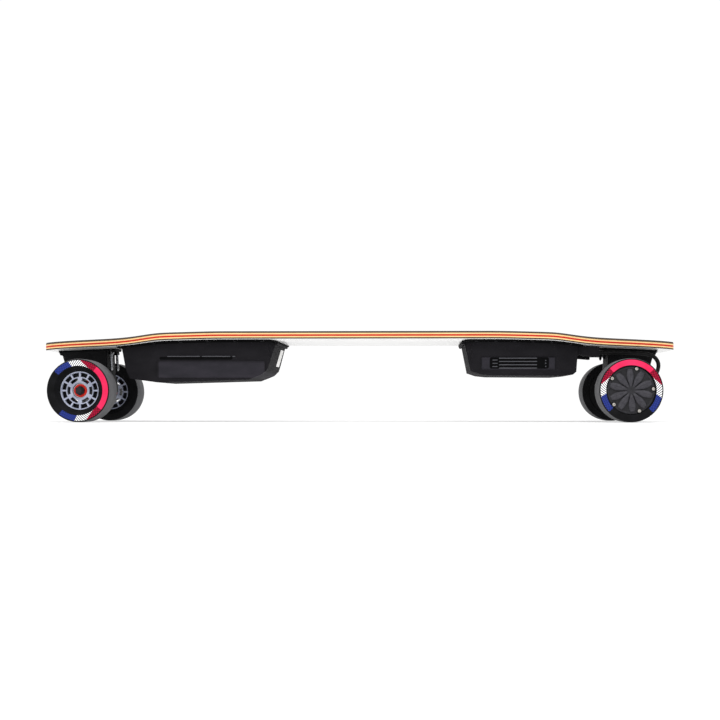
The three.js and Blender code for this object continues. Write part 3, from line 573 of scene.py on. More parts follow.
def tyre_material(name, turn):
    """Cast urethane. A printed band on the outer face runs from plain pink through checked dark red and
    striped white to blue, the same on both sides of a line that is turned by some degrees from local +X."""
    m = Nodes(name, 0.7, 0.08)
    radius, angle, height = polar(m)
    gap = m.math("ABSOLUTE", m.math("SUBTRACT", angle, turn))
    side = m.math("SUBTRACT", 180.0, m.math("ABSOLUTE", m.math("SUBTRACT", gap, 180.0)))
    across = m.math("DIVIDE", m.math("SUBTRACT", radius, BAND[0]), BAND[1] - BAND[0])

    def above(value, edge):
        return m.math("GREATER_THAN", value, edge)

    arc = m.times(side, math.radians(1) * (BAND[0] + BAND[1]) / 2)

    def stripes():
        """1 in the gaps between slanted stripes."""
        lean = m.math("ADD", arc, m.times(radius, STRIPE_SLANT))
        return m.math("LESS_THAN", m.math("FRACT", m.math("DIVIDE", lean, STRIPE_PERIOD)), STRIPE_GAP)

    def checks():
        node = m.add("ShaderNodeTexChecker", scale=1.0)
        place = m.add("ShaderNodeCombineXYZ")
        m.set(place.inputs["X"], m.math("DIVIDE", arc, CHECK_SIZE))
        m.set(place.inputs["Y"], m.math("DIVIDE", radius, CHECK_SIZE))
        m.set(node.inputs["Vector"], place.outputs["Vector"])
        return node.outputs["Fac"]

    bend = m.math("POWER", m.math("MAXIMUM", across, 0.0), RED_CURVE)
    red_end = m.math("SUBTRACT", side, m.times(bend, RED_LEAN))
    white_end = m.math("ADD", side, m.times(across, WHITE_LEAN))
    marks = m.noise(60, 4)
    black = m.ramp(marks, srgb(10, 10, 11), srgb(20, 20, 22))
    # painted sheen: the tread's paler grey stands in for the soft light that its rough face catches
    tread = m.ramp(marks, srgb(87, 87, 89), srgb(101, 101, 103))
    pink = m.ramp(marks, srgb(216, 38, 82), srgb(229, 50, 96))
    red = m.mix(checks(), srgb(176, 20, 56), srgb(64, 6, 22))
    white = m.mix(stripes(), srgb(252, 252, 253), srgb(6, 6, 8))
    blue = m.mix(m.times(checks(), 0.8), srgb(46, 62, 142), srgb(14, 18, 56))

    print_color = m.mix(above(side, PINK_END), pink, red)
    print_color = m.mix(above(red_end, RED_END), print_color, white)
    print_color = m.mix(above(white_end, WHITE_END), print_color, blue)
    print_color = m.mix(above(side, BLUE_END), print_color, black)
    inside_band = m.times(above(radius, BAND[0]), m.math("SUBTRACT", 1.0, above(radius, BAND[1])))
    printed = m.times(inside_band, above(height, FACE_HEIGHT))
    body = m.mix(above(radius, TREAD_START), black, tread)
    m.color(m.mix(printed, body, print_color))
    return m.finish(marks, (0.62, 0.8), (m.noise(1500, 3), 0.3, 0.1))


# Distances from the wheel's middle between which the core turns dark with painted shade, and the motor
# cover turns pale with a painted highlight
CORE_PAINTED_SHADE = (14.6, 7.0)
COVER_PAINTED_HIGHLIGHT = (23.7, 24.9)


def core_material():
    """Pale moulded plastic, painted dark as painted shade deep inside its pockets and windows."""
    m = Nodes("wheel_core_plastic", 0.4)
    height = polar(m)[2]
    marks = m.noise(70, 4)
    face = m.ramp(marks, srgb(150, 155, 174), srgb(178, 183, 200))
    # painted shade: the core is painted darker with depth below its face
    depth = m.fade(m.math("ABSOLUTE", height), *CORE_PAINTED_SHADE)
    m.color(m.mix(depth, face, srgb(42, 43, 50)))
    return m.finish(marks, (0.34, 0.5), (m.noise(1500, 2), 0.3, 0.05))


def cover_material():
    """Motor cover plastic: painted shade in the creases and a painted highlight on the raised leaves."""
    m = Nodes("motor_cover_plastic", 0.5)
    height = polar(m)[2]
    marks = m.noise(220, 4, (1, 1, 1), 0.6)
    leaf = m.ramp(marks, srgb(50, 49, 54), srgb(64, 63, 68))
    low = m.ramp(marks, srgb(26, 26, 28), srgb(38, 38, 41))
    # painted light: the low creases are painted darker and the raised leaves paler
    m.color(m.mix(m.fade(height, *COVER_PAINTED_HIGHLIGHT), low, leaf))
    return m.finish(marks, (0.42, 0.62), (m.noise(1500, 2), 0.35, 0.08))


materials = {
    "top_veneer": veneer_material("walnut_top_veneer", srgb(84, 68, 54), srgb(44, 32, 24)),
    "cream_veneer": veneer_material("maple_veneer", srgb(252, 208, 146), srgb(206, 148, 88)),
    "red_veneer": veneer_material("dyed_red_veneer", srgb(196, 40, 24), srgb(138, 24, 14)),
    "dark_veneer": veneer_material("walnut_bottom_veneer", srgb(58, 42, 32), srgb(30, 20, 14)),
    "film": film_material(),
    "grip": grip_material(),
    "case": case_material(),
    # Painted highlight: a paler copy of the case plastic for the ribs, dots and bead, where they catch the
    # light
    "case_highlight_trim": moulded_material("case_highlight_trim", srgb(79, 79, 84), 0.45),
    # Near-black painted shade: the patch behind the controller's ribs and the band under the battery case's
    # bead
    "case_painted_shade": moulded_material("case_painted_shade", srgb(13, 13, 14), 0.8, shine=0.03),
    "gasket": moulded_material("foam_gasket", srgb(10, 10, 11), 0.9, 900, 0.2, shine=0.03),
    "label": moulded_material("blank_label", srgb(255, 254, 250), 0.35, 1200, 0.03),
    "rubber": moulded_material("black_rubber", srgb(14, 14, 15), 0.7, 1800, 0.1),
    "cable": moulded_material("cable_sleeve", srgb(12, 12, 13), 0.5, 1500, 0.12),
    "truck": coated_material("truck_coating", srgb(16, 16, 18), 0.6),
    "can": coated_material("motor_can_coating", srgb(14, 14, 16), 0.55),
    "cover": cover_material(),
    "steel": metal_material("plated_steel", srgb(190, 192, 196), 0.22),
    "screw": metal_material("screw_steel", srgb(178, 174, 168), 0.34),
    "bearing": metal_material("bearing_steel", srgb(205, 207, 210), 0.2),
    "black_steel": metal_material("black_oxide", srgb(48, 48, 51), 0.38),
    "seal": moulded_material("red_seal", srgb(214, 44, 34), 0.45, 1500, 0.05),
    "bushing": moulded_material("bushing_urethane", srgb(178, 36, 42), 0.4, 900, 0.05),
    "core": core_material(),
    "copper": metal_material("stator_winding", srgb(190, 110, 66), 0.4, (1, 1, 30)),
    "wrap": moulded_material("cell_wrap", srgb(40, 84, 150), 0.3, 700, 0.05),
    "circuit": moulded_material("circuit_board", srgb(24, 96, 60), 0.35, 900, 0.05),
    "button": moulded_material("button_plastic", srgb(70, 70, 76), 0.35, 1500, 0.04),
    "front_tyre": tyre_material("front_tyre_urethane", 6),
    "rear_tyre": tyre_material("rear_tyre_urethane", 89),
}


def dress(node, material, bevel=0.0, segments=2):
    """Gives a carried-over CAD node its material and, where asked, rounded edges."""
    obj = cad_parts[node]
    obj.data.materials.clear()
    obj.data.materials.append(materials[material])
    if bevel:
        add_bevel(obj, bevel, segments)
    return obj


# ---- Deck: veneers, underside film and grip tape, planks between two heights above the underside ----

HALF_LENGTH = 489
HALF_WIDTH = 114
END_HALF_WIDTH = 86
TIP_HALF_WIDTH = 46
TAPER = (290, 400)
TIP_ROUND_START = 415
UNDERSIDE = 124
FLOOR_HALF_WIDTH = 88
RAIL_RISE = 2
# Distance from the middle, and height against it
ROCKER = [(0, 0), (200, 0), (260, -1.1), (300, -2.5), (340, -5.8), (360, -7.1), (385, -8.3), (485, -12.9)]
DECK_EDGE_RADIUS = 1.2
DECK_THICKNESS = 11
GRIP_GAP = 0.02
GRIP_THICKNESS = 1
GRIP_EDGE_RADIUS = 0.5
GRIP_INSET = 1.5
LAYER_STEP = 0.35
# name, low, high, look
VENEERS = [
    ("underside_film", 0.0, 0.4, "film"),
    ("bottom_walnut_veneer", 0.4, 2.3, "dark_veneer"),
    ("lower_maple_veneer", 2.3, 4.2, "cream_veneer"),
    ("red_veneer", 4.2, 6.9, "red_veneer"),
    ("upper_maple_veneer", 6.9, 8.9, "cream_veneer"),
    ("top_walnut_veneer", 8.9, 11.0, "top_veneer"),
]


def rocker(x):
    """Height of the deck against its middle: level in the middle, straight at the ends."""
    distance = min(abs(x), HALF_LENGTH)
    last = len(ROCKER) - 1

    def slope(k):
        return (ROCKER[k + 1][1] - ROCKER[k][1]) / (ROCKER[k + 1][0] - ROCKER[k][0])

    def tangent(k):
        if k <= 1:
            return 0
        return slope(last - 1) if k >= last - 1 else (slope(k - 1) + slope(k)) / 2

    i = 0
    while i < last - 1 and distance > ROCKER[i + 1][0]:
        i += 1
    span = ROCKER[i + 1][0] - ROCKER[i][0]
    t = (distance - ROCKER[i][0]) / span
    start_weight = 2 * t**3 - 3 * t**2 + 1
    pull = (t**3 - 2 * t**2 + t) * tangent(i) + (t**3 - t**2) * tangent(i + 1)
    return start_weight * ROCKER[i][1] + (1 - start_weight) * ROCKER[i + 1][1] + pull * span


def deck_half_width(x):
    distance = abs(x)
    t = min(1, max(0, (distance - TAPER[0]) / (TAPER[1] - TAPER[0])))
    side = HALF_WIDTH + (END_HALF_WIDTH - HALF_WIDTH) * t * t * (3 - 2 * t)
    t = max(0, distance - TIP_ROUND_START) / (HALF_LENGTH - TIP_ROUND_START)
    return TIP_HALF_WIDTH + (side - TIP_HALF_WIDTH) * math.sqrt(max(0, 1 - t * t))


def rail_rise(y):
    return RAIL_RISE * (max(0, abs(y) - FLOOR_HALF_WIDTH) / (HALF_WIDTH - FLOOR_HALF_WIDTH)) ** 2


def edge_inset(height, low, high, radius):
    """How far a rounded edge pulls in at a height."""
    depth = min(height - low, high - height)
    if depth >= radius:
        return 0
    return radius - math.sqrt(max(0, radius**2 - (radius - max(depth, 0)) ** 2))


def plank_stations():
    half = [20 * i for i in range(10)] + [200 + 7.5 * i for i in range(27)]
    half += [HALF_LENGTH - (HALF_LENGTH - 400) * (1 - math.sin(math.pi / 2 * i / 22)) for i in range(1, 22)]
    half = sorted({min(round(x, 3), HALF_LENGTH - 2.2) for x in half}) + [HALF_LENGTH]
    return [-x for x in reversed(half[1:])] + half


def plank(low, high, whole, radius, inset=0.0):
    """A layer of the deck. whole is the height range whose outer edges are rounded."""
    fractions = [0, 0.3, 0.6, 0.77, 0.82, 0.87, 0.92, 0.96, 0.985, 1]
    fractions = [-f for f in reversed(fractions[1:])] + fractions
    steps = max(2, round((high - low) / LAYER_STEP))
    heights = [low + (high - low) * i / steps for i in range(steps + 1)]
    ring = [(f, low) for f in fractions] + [(1, h) for h in heights[1:-1]]
    ring += [(f, high) for f in reversed(fractions)] + [(-1, h) for h in reversed(heights[1:-1])]

    def section(x):
        points = []
        for fraction, height in ring:
            pull = inset + edge_inset(height, *whole, radius)
            y = fraction * (deck_half_width(x) - pull)
            place = math.copysign(min(abs(x), HALF_LENGTH - pull), x)
            points.append((place, y, UNDERSIDE + rocker(x) + rail_rise(y) + height))
        return points

    return skinned([section(x) for x in plank_stations()])


def add_deck():
    for name, low, high, look in VENEERS:
        layer = plank(low, high, (0, DECK_THICKNESS), DECK_EDGE_RADIUS)
        add_piece(name, layer, look, "deck_wood", *(["deck"] if low == 0 else []))
    low, high = DECK_THICKNESS + GRIP_GAP, DECK_THICKNESS + GRIP_THICKNESS
    sheet = plank(low, high, (low - 1, high), GRIP_EDGE_RADIUS, GRIP_INSET)
    add_piece("grip_tape_grit", sheet, "grip", "grip", "grip_tape")


# ---- Wheels: local +Z points outboard along the axle, origin in the middle of the tread ----

WHEEL_RADIUS = 48
WHEEL_HALF_WIDTH = 27
# (radius, height, corner radius) of a tyre's inner surface on the outer side
FRONT_BORE = [(29.2, 17, 0.4), (36.4, WHEEL_HALF_WIDTH, 0.9)]
REAR_BORE = [(36.4, 25.6, 0.2), (37.2, WHEEL_HALF_WIDTH, 0.4)]
TREAD_CROWN = 0.3
TREAD_ROUND = 3.2
# Openings of the core: inner radius, outer radius, centre angle, half angle
POCKETS = [(20.9, 27.2, 15 + 30 * k, 12.1) for k in range(12)]
WINDOWS = [(14.6, 19.4, 60 * k, 19.5) for k in range(6)]
CORE_RINGS = [13.2, 14.6, 16.2, 17.8, 19.4, 20.9, 22.5, 24, 25.6, 27.2, 28.2]
# name, low, high, openings
CORE_PLATES = [
    ("outer_plate", 2.02, 15, POCKETS + WINDOWS),
    ("web", -2, 2, WINDOWS),
    ("inner_plate", -15, -2.02, POCKETS + WINDOWS),
]
CORE_RIM = [(28.0, -17), (29.1, -17), (29.1, 17), (28.0, 17)]
CORE_HUB = [(11.2, -15), (13.4, -15.3), (13.4, 15.3), (11.9, 15.3), (11.2, 14)]
BEARINGS = {"outer": (4, 11), "inner": (-11, -4)}
AXLE_NUT = (12.9, 11.4, 15.6, 4.1, 1.3)


def wheel_matrix(tyre_node, side):
    """The wheel's frame in metres."""
    centre = middle(tyre_node) * MM
    return Matrix.Translation(centre) @ Matrix.Rotation(-side * math.pi / 2, 4, "X")


def add_tyre(label, side, bore, look):
    half = WHEEL_HALF_WIDTH
    shoulder = WHEEL_RADIUS - TREAD_CROWN
    outside = [(shoulder, -half, TREAD_ROUND), (WHEEL_RADIUS, 0, 0), (shoulder, half, TREAD_ROUND)]
    profile = filleted([(r, -z, c) for r, z, c in bore] + outside + list(reversed(bore)), 0.5, 7)
    place = wheel_matrix(f"{label}_tyre", side)
    part = lathe(profile, 160)
    name, body, slot = f"{label}_tyre_tread", f"{label}_wheel", "tyre_urethane"
    add_piece(name, part, look, slot, f"{label}_tyre", place=place, body=body, split=50)


def windowed_disc(radii, low, high, windows, segments):
    """A disc between the first and last radius with windows cut through it."""

    def is_open(ring, column):
        radius = (radii[ring] + radii[ring + 1]) / 2
        angle = 360 * (column + 0.5) / segments
        for inner, outer, centre, half in windows:
            turn = abs((angle - centre + 180) % 360 - 180)
            if inner < radius < outer and turn < half:
                return True
        return False

    rings = len(radii) - 1
    verts = []
    for z in (low, high):
        for radius in radii:
            verts += [round_point(radius, angle, z) for angle in round_angles(segments)]
    faces = []

    def quad(*corners):
        """A face from (layer, ring, column) corners."""
        level = len(radii) * segments
        faces.append([a * level + b * segments + c % segments for a, b, c in corners])

    for ring in range(rings):
        for column in range(segments):
            if is_open(ring, column):
                continue
            outer, after = ring + 1, column + 1
            quad((1, ring, column), (1, outer, column), (1, outer, after), (1, ring, after))
            quad((0, ring, column), (0, ring, after), (0, outer, after), (0, outer, column))
            if ring == 0 or is_open(ring - 1, column):
                quad((0, ring, column), (1, ring, column), (1, ring, after), (0, ring, after))
            if ring == rings - 1 or is_open(outer, column):
                quad((0, outer, column), (0, outer, after), (1, outer, after), (1, outer, column))
            for edge, beside in ((column, column - 1), (after, after)):
                if is_open(ring, beside % segments):
                    quad((0, ring, edge), (0, outer, edge), (1, outer, edge), (1, ring, edge))
    used = sorted({i for face in faces for i in face})
    index = {old: new for new, old in enumerate(used)}
    return [verts[i] for i in used], [[index[i] for i in face] for face in faces]


def add_core(label, side):
    """Spoked plastic core: a web with six windows right through, a plate with twelve pockets on each face,
    a rim and a hub."""
    matrix = wheel_matrix(f"{label}_tyre", side)
    body = f"{label}_wheel"
    for name, low, high, openings in CORE_PLATES:
        disc = windowed_disc(CORE_RINGS, low, high, openings, 240)
        plate = make_object(f"{label}_core_{name}", *disc, materials["core"], matrix)
        add_bevel(plate, 0.45, 3, 40, tidy=False)
        settle(plate, body, "wheel_core", *([f"{label}_core"] if name == "web" else []))
    rings = joined(lathe(filleted(CORE_RIM, 0.5, 4), 128), lathe(filleted(CORE_HUB, 0.4, 4), 96))
    add_piece(f"{label}_core_rings", rings, "core", "wheel_core", place=matrix, body=body, split=50)


def add_bearing(label, side, where):
    """Two races with a red seal set between them."""
    low, high = BEARINGS[where]
    matrix = wheel_matrix(f"{label}_tyre", side)
    node = f"{label}_{where}_bearing"
    body = f"{label}_wheel"
    outer = filleted([(10.1, low), (11, low), (11, high), (10.1, high)], 0.3, 3)
    inner = filleted([(4.1, low), (6.3, low), (6.3, high), (4.1, high)], 0.3, 3)
    races = joined(lathe(outer, 64), lathe(inner, 64))
    add_piece(f"{node}_races", races, "bearing", "bearing_steel", node, place=matrix, body=body)
    seal = [(6.25, low + 0.35), (10.15, low + 0.35), (10.15, high - 0.3), (8.6, high - 0.05)]
    seal += [(7.4, high - 0.05), (6.25, high - 0.35)]
    seals = lathe(filleted(seal, 0.3, 3), 64)
    add_piece(f"{node}_seals", seals, "seal", "bearing_steel", place=matrix, body=body)


def hex_radius(across_flats, angle):
    turn = (angle + math.pi / 6) % (math.pi / 3) - math.pi / 6
    return across_flats / 2 / math.cos(turn)


def hex_nut(across_flats, low, high, bore, collar):
    """A chamfered hexagon nut round +Z with a round bore and the raised collar of its locking insert."""
    flat = across_flats / 2
    corner = flat / math.cos(math.pi / 6)
    profile = [
        (bore, low),
        (flat * 0.94, low),
        lambda a: (hex_radius(across_flats, a), low + 0.35 * (hex_radius(across_flats, a) - flat) + 0.3),
        lambda a: (hex_radius(across_flats, a), high - 0.35 * (corner - flat) - 0.3),
        (flat * 0.94, high),
        (bore + 1.4, high),
        (bore + 1.0, high + collar),
        (bore, high + collar),
    ]
    return lathe(profile, 72)


def thread(radius, low, high, pitch=0.8):
    """(radius, height) points of ring-like thread ridges."""
    points = []
    turns = int((high - low) / pitch)
    for i in range(turns):
        points.append((radius, low + pitch * i))
        points.append((radius - 0.35, low + pitch * (i + 0.5)))
    return points


def screw_head(radius, height, socket):
    """A button head with a hexagon socket, standing on z 0."""
    profile = [
        (radius, 0),
        (radius, height * 0.45),
        (radius * 0.86, height * 0.85),
        (radius * 0.62, height),
        lambda a: (hex_radius(socket, a), height),
        lambda a: (hex_radius(socket, a) * 0.96, height * 0.25),
    ]
    verts, faces = lathe(profile, 48, closed=False)
    faces.append(list(range(0, len(verts), len(profile))))
    faces.append(list(range(len(profile) - 1, len(verts), len(profile))))
    return verts, faces


# The motor cover: its leaves, and the seats of its screws
LEAVES = 10
LEAF_PHASE = math.radians(3.75)
LEAF_REACH = 33.0
LEAF_HEIGHT = 2.7
LEAF_DIP = 1.0
FACE_DROP = -0.6
SEAT_HEIGHT = -2.0
SEAT_RADIUS = 4.4
SEAT_BLEND = 0.8
COVER_HEIGHT = 24.6
COVER_RADIUS = 36
COVER_WALL = 36.1
COVER_WALL_HEIGHTS = (22.5, 20.0)
COVER_EDGE = (35, 0.9)
SCREW_CIRCLE = 33.2
SCREW_ANGLES = [math.radians(3.75 + 72 * k) for k in range(5)]
SCREW_SEAT = 22.5
COVER_SCREW = (2.75, 2.6, 2.2)
MOTOR_CAN = [(14, -25), (36.2, -25), (36.2, 19.7), (33.4, 19.7), (33.4, -21.5), (14, -21.5)]


def clamped(value):
    return min(1, max(0, value))


def cover_relief(radius, angle):
    """Height of the motor cover's face above its rim: leaves parted by creases, and sunk screw seats."""
    height = FACE_DROP
    if radius < LEAF_REACH:
        wave = ((angle - LEAF_PHASE) * LEAVES / (2 * math.pi)) % 1
        offset = abs(wave - 0.5) * 2
        inner = clamped((radius - 5) / 5)
        outer = clamped((LEAF_REACH - radius) / 1.5)
        taper = max(0, radius / LEAF_REACH - 0.5) / 0.5
        width = 0.95 - 0.62 * taper**1.6
        leaf = math.sqrt(max(0, 1 - (offset / width) ** 2))
        fold = max(0, 1 - (offset / (0.14 * width)) ** 2)
        veins = 0.14 * math.sin(radius * 2.1 - 5 * offset) * leaf
        crease = 0.5 * fold * clamped((radius - 8) / 6)
        height += inner * outer * (LEAF_HEIGHT * leaf - LEAF_DIP + veins - crease)
    for centre in SCREW_ANGLES:
        dx = radius * math.cos(angle) - SCREW_CIRCLE * math.cos(centre)
        dy = radius * math.sin(angle) - SCREW_CIRCLE * math.sin(centre)
        height += (SEAT_HEIGHT - height) * clamped((SEAT_RADIUS - math.hypot(dx, dy)) / SEAT_BLEND)
    return height


def add_motor(label, side):
    place = wheel_matrix(f"{label}_tyre", side)
    body = f"{label}_wheel"
    can = lathe(filleted(MOTOR_CAN, 0.8, 4), 128)
    name, node = f"{label}_motor_can_shell", f"{label}_motor_can"
    add_piece(name, can, "can", "truck_metal", node, place=place, body=body)

    angles = round_angles(264)
    edge_start, edge_drop = COVER_EDGE

    def surface(radius, angle):
        drop = edge_drop * max(0, (radius - edge_start) / 1.0) ** 2
        return COVER_HEIGHT + cover_relief(radius, angle) - drop

    rings = []
    for radius in [0.01] + [COVER_RADIUS * (i / 60) for i in range(1, 61)]:
        rings.append([round_point(radius, a, surface(radius, a)) for a in angles])
    for z in COVER_WALL_HEIGHTS:
        rings.append([round_point(COVER_WALL, a, z) for a in angles])
    name, node = f"{label}_motor_cover_face", f"{label}_motor_cover"
    add_piece(name, skinned(rings), "cover", "motor_cover", node, place=place, body=body, split=60)

    heads = []
    for angle in SCREW_ANGLES:
        seat = shift(*round_point(SCREW_CIRCLE, angle, SCREW_SEAT))
        heads.append(moved(screw_head(*COVER_SCREW), seat))
    name = f"{label}_cover_screws"
    add_piece(name, joined(*heads), "screw", "fastener_steel", place=place, body=body, split=35)


def add_wheels():
    for label, side in SIDES:
        front = f"front_{label}"
        add_tyre(front, side, FRONT_BORE, "front_tyre")
        add_core(front, side)
        add_bearing(front, side, "outer")
        add_bearing(front, side, "inner")
        name, look, node = f"{front}_nut_hex", "black_steel", f"{front}_axle_nut"
        place = wheel_matrix(f"{front}_tyre", side)
        nut = hex_nut(*AXLE_NUT)
        add_piece(name, nut, look, "black_steel", node, place=place, body="front_hanger", split=25)
        rear = f"rear_{label}"
        add_tyre(rear, side, REAR_BORE, "rear_tyre")
        add_motor(rear, side)
        dress(f"{rear}_motor_bearing", "bearing", 0.4)
        dress(f"{rear}_stator", "copper", 0.5)


# ---- Trucks, bolts, cases and cables ----

SLOPE = math.atan2(ROCKER[-2][1] - ROCKER[-1][1], ROCKER[-1][0] - ROCKER[-2][0])
CASTING_VOXEL = 1.0
CASTING_PASSES = 6
RING_PLACE = (14.142, 0, 28.142)
KINGPIN_TURN = math.radians(135)
KINGPIN = [(0, -34), (4.4, -34), (5, -33.4), (5, 17)]
KINGPIN_TIP = [(4.2, 29.5), (0, 29.5)]
KINGPIN_NUT = (14.2, 19.2, 25.6, 5.3, 1.4)
CUP_WASHER = [(5.3, 16.8), (11, 16.8), (12.2, 15.6), (12.8, 16.6), (11.4, 18.8), (5.3, 18.8)]
# node, profile, height held by the board, height held by the hanger
BUSHINGS = [
    ("upper_bushing", [(5.3, -19), (10.6, -19), (11, -12.2), (10.6, -5.3), (5.3, -5.3)], -18.5, -6),
    ("lower_bushing", [(5.3, 5.3), (11, 5.3), (11, 8), (8.8, 16.5), (5.3, 16.5)], 16, 6),
]


def truck_matrix(end):
    centre = middle(f"{end}_axle") * MM
    turn = math.pi if end == "front" else 0
    return Matrix.Translation(centre) @ Matrix.Rotation(turn, 4, "Z") @ Matrix.Rotation(SLOPE, 4, "Y")


def cast(node):
    """Gives a carried-over CAD node the soft fillets and the coating of a casting."""
    obj = dress(node, "truck")
    remesh = obj.modifiers.new("casting_skin", "REMESH")
    remesh.mode = "VOXEL"
    remesh.voxel_size = CASTING_VOXEL * MM
    remesh.use_smooth_shade = True
    soften = obj.modifiers.new("fillets", "SMOOTH")
    soften.factor = 0.5
    soften.iterations = CASTING_PASSES


def add_kingpin_stack(end):
    """Kingpin, urethane bushings on both sides of the hanger's ring, cup washer and nut."""
    ring = Matrix.Translation(Vector(RING_PLACE) * MM) @ Matrix.Rotation(KINGPIN_TURN, 4, "Y")
    matrix = truck_matrix(end) @ ring

    def fastener(node, ending, part, split):
        name = f"{end}_{node}_{ending}"
        add_piece(name, part, "steel", "fastener_steel", f"{end}_{node}", place=matrix, split=split)

    shaft = KINGPIN + thread(5, 17.4, 28.6, 1.1) + KINGPIN_TIP
    fastener("kingpin", "turned", lathe(shaft, 72, closed=False), 32)
    fastener("cup_washer", "turned", lathe(filleted(CUP_WASHER, 0.6, 4), 72), 32)
    fastener("kingpin_nut", "hex", hex_nut(*KINGPIN_NUT), 25)

    for node, profile, seat, face in BUSHINGS:
        part = lathe(filleted(profile, 1.0, 5), 72)
        obj = make_object(f"{end}_{node}_turned", *part, materials["bushing"], matrix)
        mark_sharp_edges(obj, 32)
        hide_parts(f"{end}_{node}")
        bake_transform(obj)


def add_truck_bolts(end):
    inverse = truck_matrix(end).inverted()
    look = "steel" if end == "front" else "black_steel"
    for side, _ in SIDES:
        for row in ("inner", "outer"):
            node = f"{end}_{side}_{row}_bolt"
            corners = [inverse @ v.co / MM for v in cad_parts[node].data.vertices]
            low = min(c.z for c in corners)
            top = max(c.z for c in corners)
            x = sum(c.x for c in corners) / len(corners)
            y = sum(c.y for c in corners) / len(corners)
            nut_top = max(c.z for c in corners if math.hypot(c.x - x, c.y - y) > 4.4 and c.z < top - 3)
            profile = [(0, low), (0.7, low), (2.3, low + 2.4)] + thread(2.4, low + 2.5, nut_top - 4.8)
            profile += [(2.35, nut_top - 4.8), (2.35, top - 3), (4.9, top - 0.6)]
            profile += [(4.85, top - 0.25), (4.5, top), (2.2, top), (1.9, top - 1.8), (0, top - 1.8)]
            nut = hex_nut(8, nut_top - 5, nut_top - 1.1, 2.45, 1.1)
            bolt = joined(lathe(profile, 32, closed=False), nut)
            place = truck_matrix(end) @ Matrix.Translation((x * MM, y * MM, 0))
            add_piece(f"{node}_threaded", bolt, look, "fastener_steel", node, place=place, split=28)


def add_trucks():
    for end in ("front", "rear"):
        dress(f"{end}_riser_pad", "rubber", 0.3)
        cast(f"{end}_baseplate")
        cast(f"{end}_hanger")
        dress(f"{end}_pivot_cup", "bushing", 0.2)
        dress(f"{end}_axle", "black_steel", 0.6)
        add_kingpin_stack(end)
        add_truck_bolts(end)


# A wall's (distance from the middle, height) at its foot and its head
BATTERY_WALL = ((81, 66), (86, 127))
CONTROLLER_PAD = ((85.3, 81.5), (86.4, 98.5))
# The bead line, and the dark band of painted shadow under it
BEAD_HEIGHT = 100.9
BEADS = [(-291, -240.5), (-237.5, -193.5), (-190.5, -186)]
BEAD_SHADOW_X = (-303, -190.5)
BEAD_SHADOW_HEIGHT = 97.9
# The controller's ribs and dots, and the recess that they stand in, a near-black patch of painted shade
LONG_RIBS = [97.5, 92.5, 87.5, 82.5]
LONG_RIB_X = (217, 275)
SHORT_RIBS = [94.7, 89.7, 84.8]
SHORT_RIB_X = (207, 215)
DOTS = [94, 89.7, 85]
DOT_X = 288
RECESS_X = (203, 293)
RECESS_Z = (81.6, 98.6)
RECESS_CORNER = 3


def side_wall(side, foot, head, x, z):
    """The frame of a case's side wall at a place. foot and head are the wall's (distance, height) ends."""
    share = (z - foot[1]) / (head[1] - foot[1])
    distance = foot[0] + share * (head[0] - foot[0])
    up = (0, side * (head[0] - foot[0]), head[1] - foot[1])
    return on_wall((x, side * distance, z), (-side, 0, 0), up)


def reliefs(name, side, wall, patches, look, corner=None):
    """Raised patches on a side wall: (centre along, height, half length, half height, rise) for each."""
    parts = []
    for x, z, half_length, half_height, proud in patches:
        span_u = (-half_length, half_length)
        span_v = (-half_height, half_height)
        radius = corner or min(half_length, half_height) * 0.98
        patch = raised_patch(span_u, span_v, radius, proud, min(proud, half_height) * 0.6)
        parts.append(moved(patch, side_wall(side, *wall, x, z)))
    add_piece(name, joined(*parts), look, "case_plastic", split=50)


def add_case_reliefs(side, name):
    """Cooling ribs and dots on the controller case, and the bead line on the battery case's left side; ribs
    and bead are paler as a painted highlight, over near-black patches of painted shade and painted shadow.
    """

    def span(ends, z, half_height, proud):
        return (mean(ends), z, (ends[1] - ends[0]) / 2, half_height, proud)

    ribs = [span(LONG_RIB_X, z, 0.75, 1.5) for z in LONG_RIBS]
    ribs += [span(SHORT_RIB_X, z, 0.7, 1.2) for z in SHORT_RIBS]
    ribs += [(DOT_X, z, 1.1, 1.1, 1.2) for z in DOTS]
    # painted shade: a near-black patch stands in for the shade in the recess between the ribs
    recess = [span(RECESS_X, mean(RECESS_Z), (RECESS_Z[1] - RECESS_Z[0]) / 2, 0.25)]
    reliefs(f"{name}_case_painted_shade", side, CONTROLLER_PAD, recess, "case_painted_shade", RECESS_CORNER)
    # painted highlight: the ribs, dots and bead take the paler trim
    reliefs(f"{name}_case_ribs", side, CONTROLLER_PAD, ribs, "case_highlight_trim")
    if side == LEFT:
        beads = [span(ends, BEAD_HEIGHT, 0.8, 1.4) for ends in BEADS]
        reliefs(f"{name}_case_bead", side, BATTERY_WALL, beads, "case_highlight_trim")
        # painted shadow: a dark band stands in for the shade under the bead
        groove = [span(BEAD_SHADOW_X, BEAD_SHADOW_HEIGHT, 2.2, 0.2)]
        reliefs(f"{name}_case_bead_shadow", side, BATTERY_WALL, groove, "case_painted_shade")


LABEL_Y = (20, 62)
LABEL_Z = (88, 115)
# The (x, z) foot and head of the battery case's inner end
END_WALL = ((-136.8, 81), (-123.5, 126))


def add_label():
    """A blank sticker on the battery case's sloping inner end."""
    (foot_x, foot_z), (head_x, head_z) = END_WALL
    lean = (head_x - foot_x) / (head_z - foot_z)
    z = mean(LABEL_Z)
    place = (foot_x + lean * (z - foot_z), mean(LABEL_Y), z)
    wall = on_wall(place, (0, 1, 0), (lean, 0, 1))
    half_height = (LABEL_Z[1] - LABEL_Z[0]) / 2 * math.hypot(1, lean)
    half_width = (LABEL_Y[1] - LABEL_Y[0]) / 2
    patch = raised_patch((-half_width, half_width), (-half_height, half_height), 2, 0.25, 0.1)
    add_piece("battery_case_blank_label", moved(patch, wall), "label", "case_plastic")


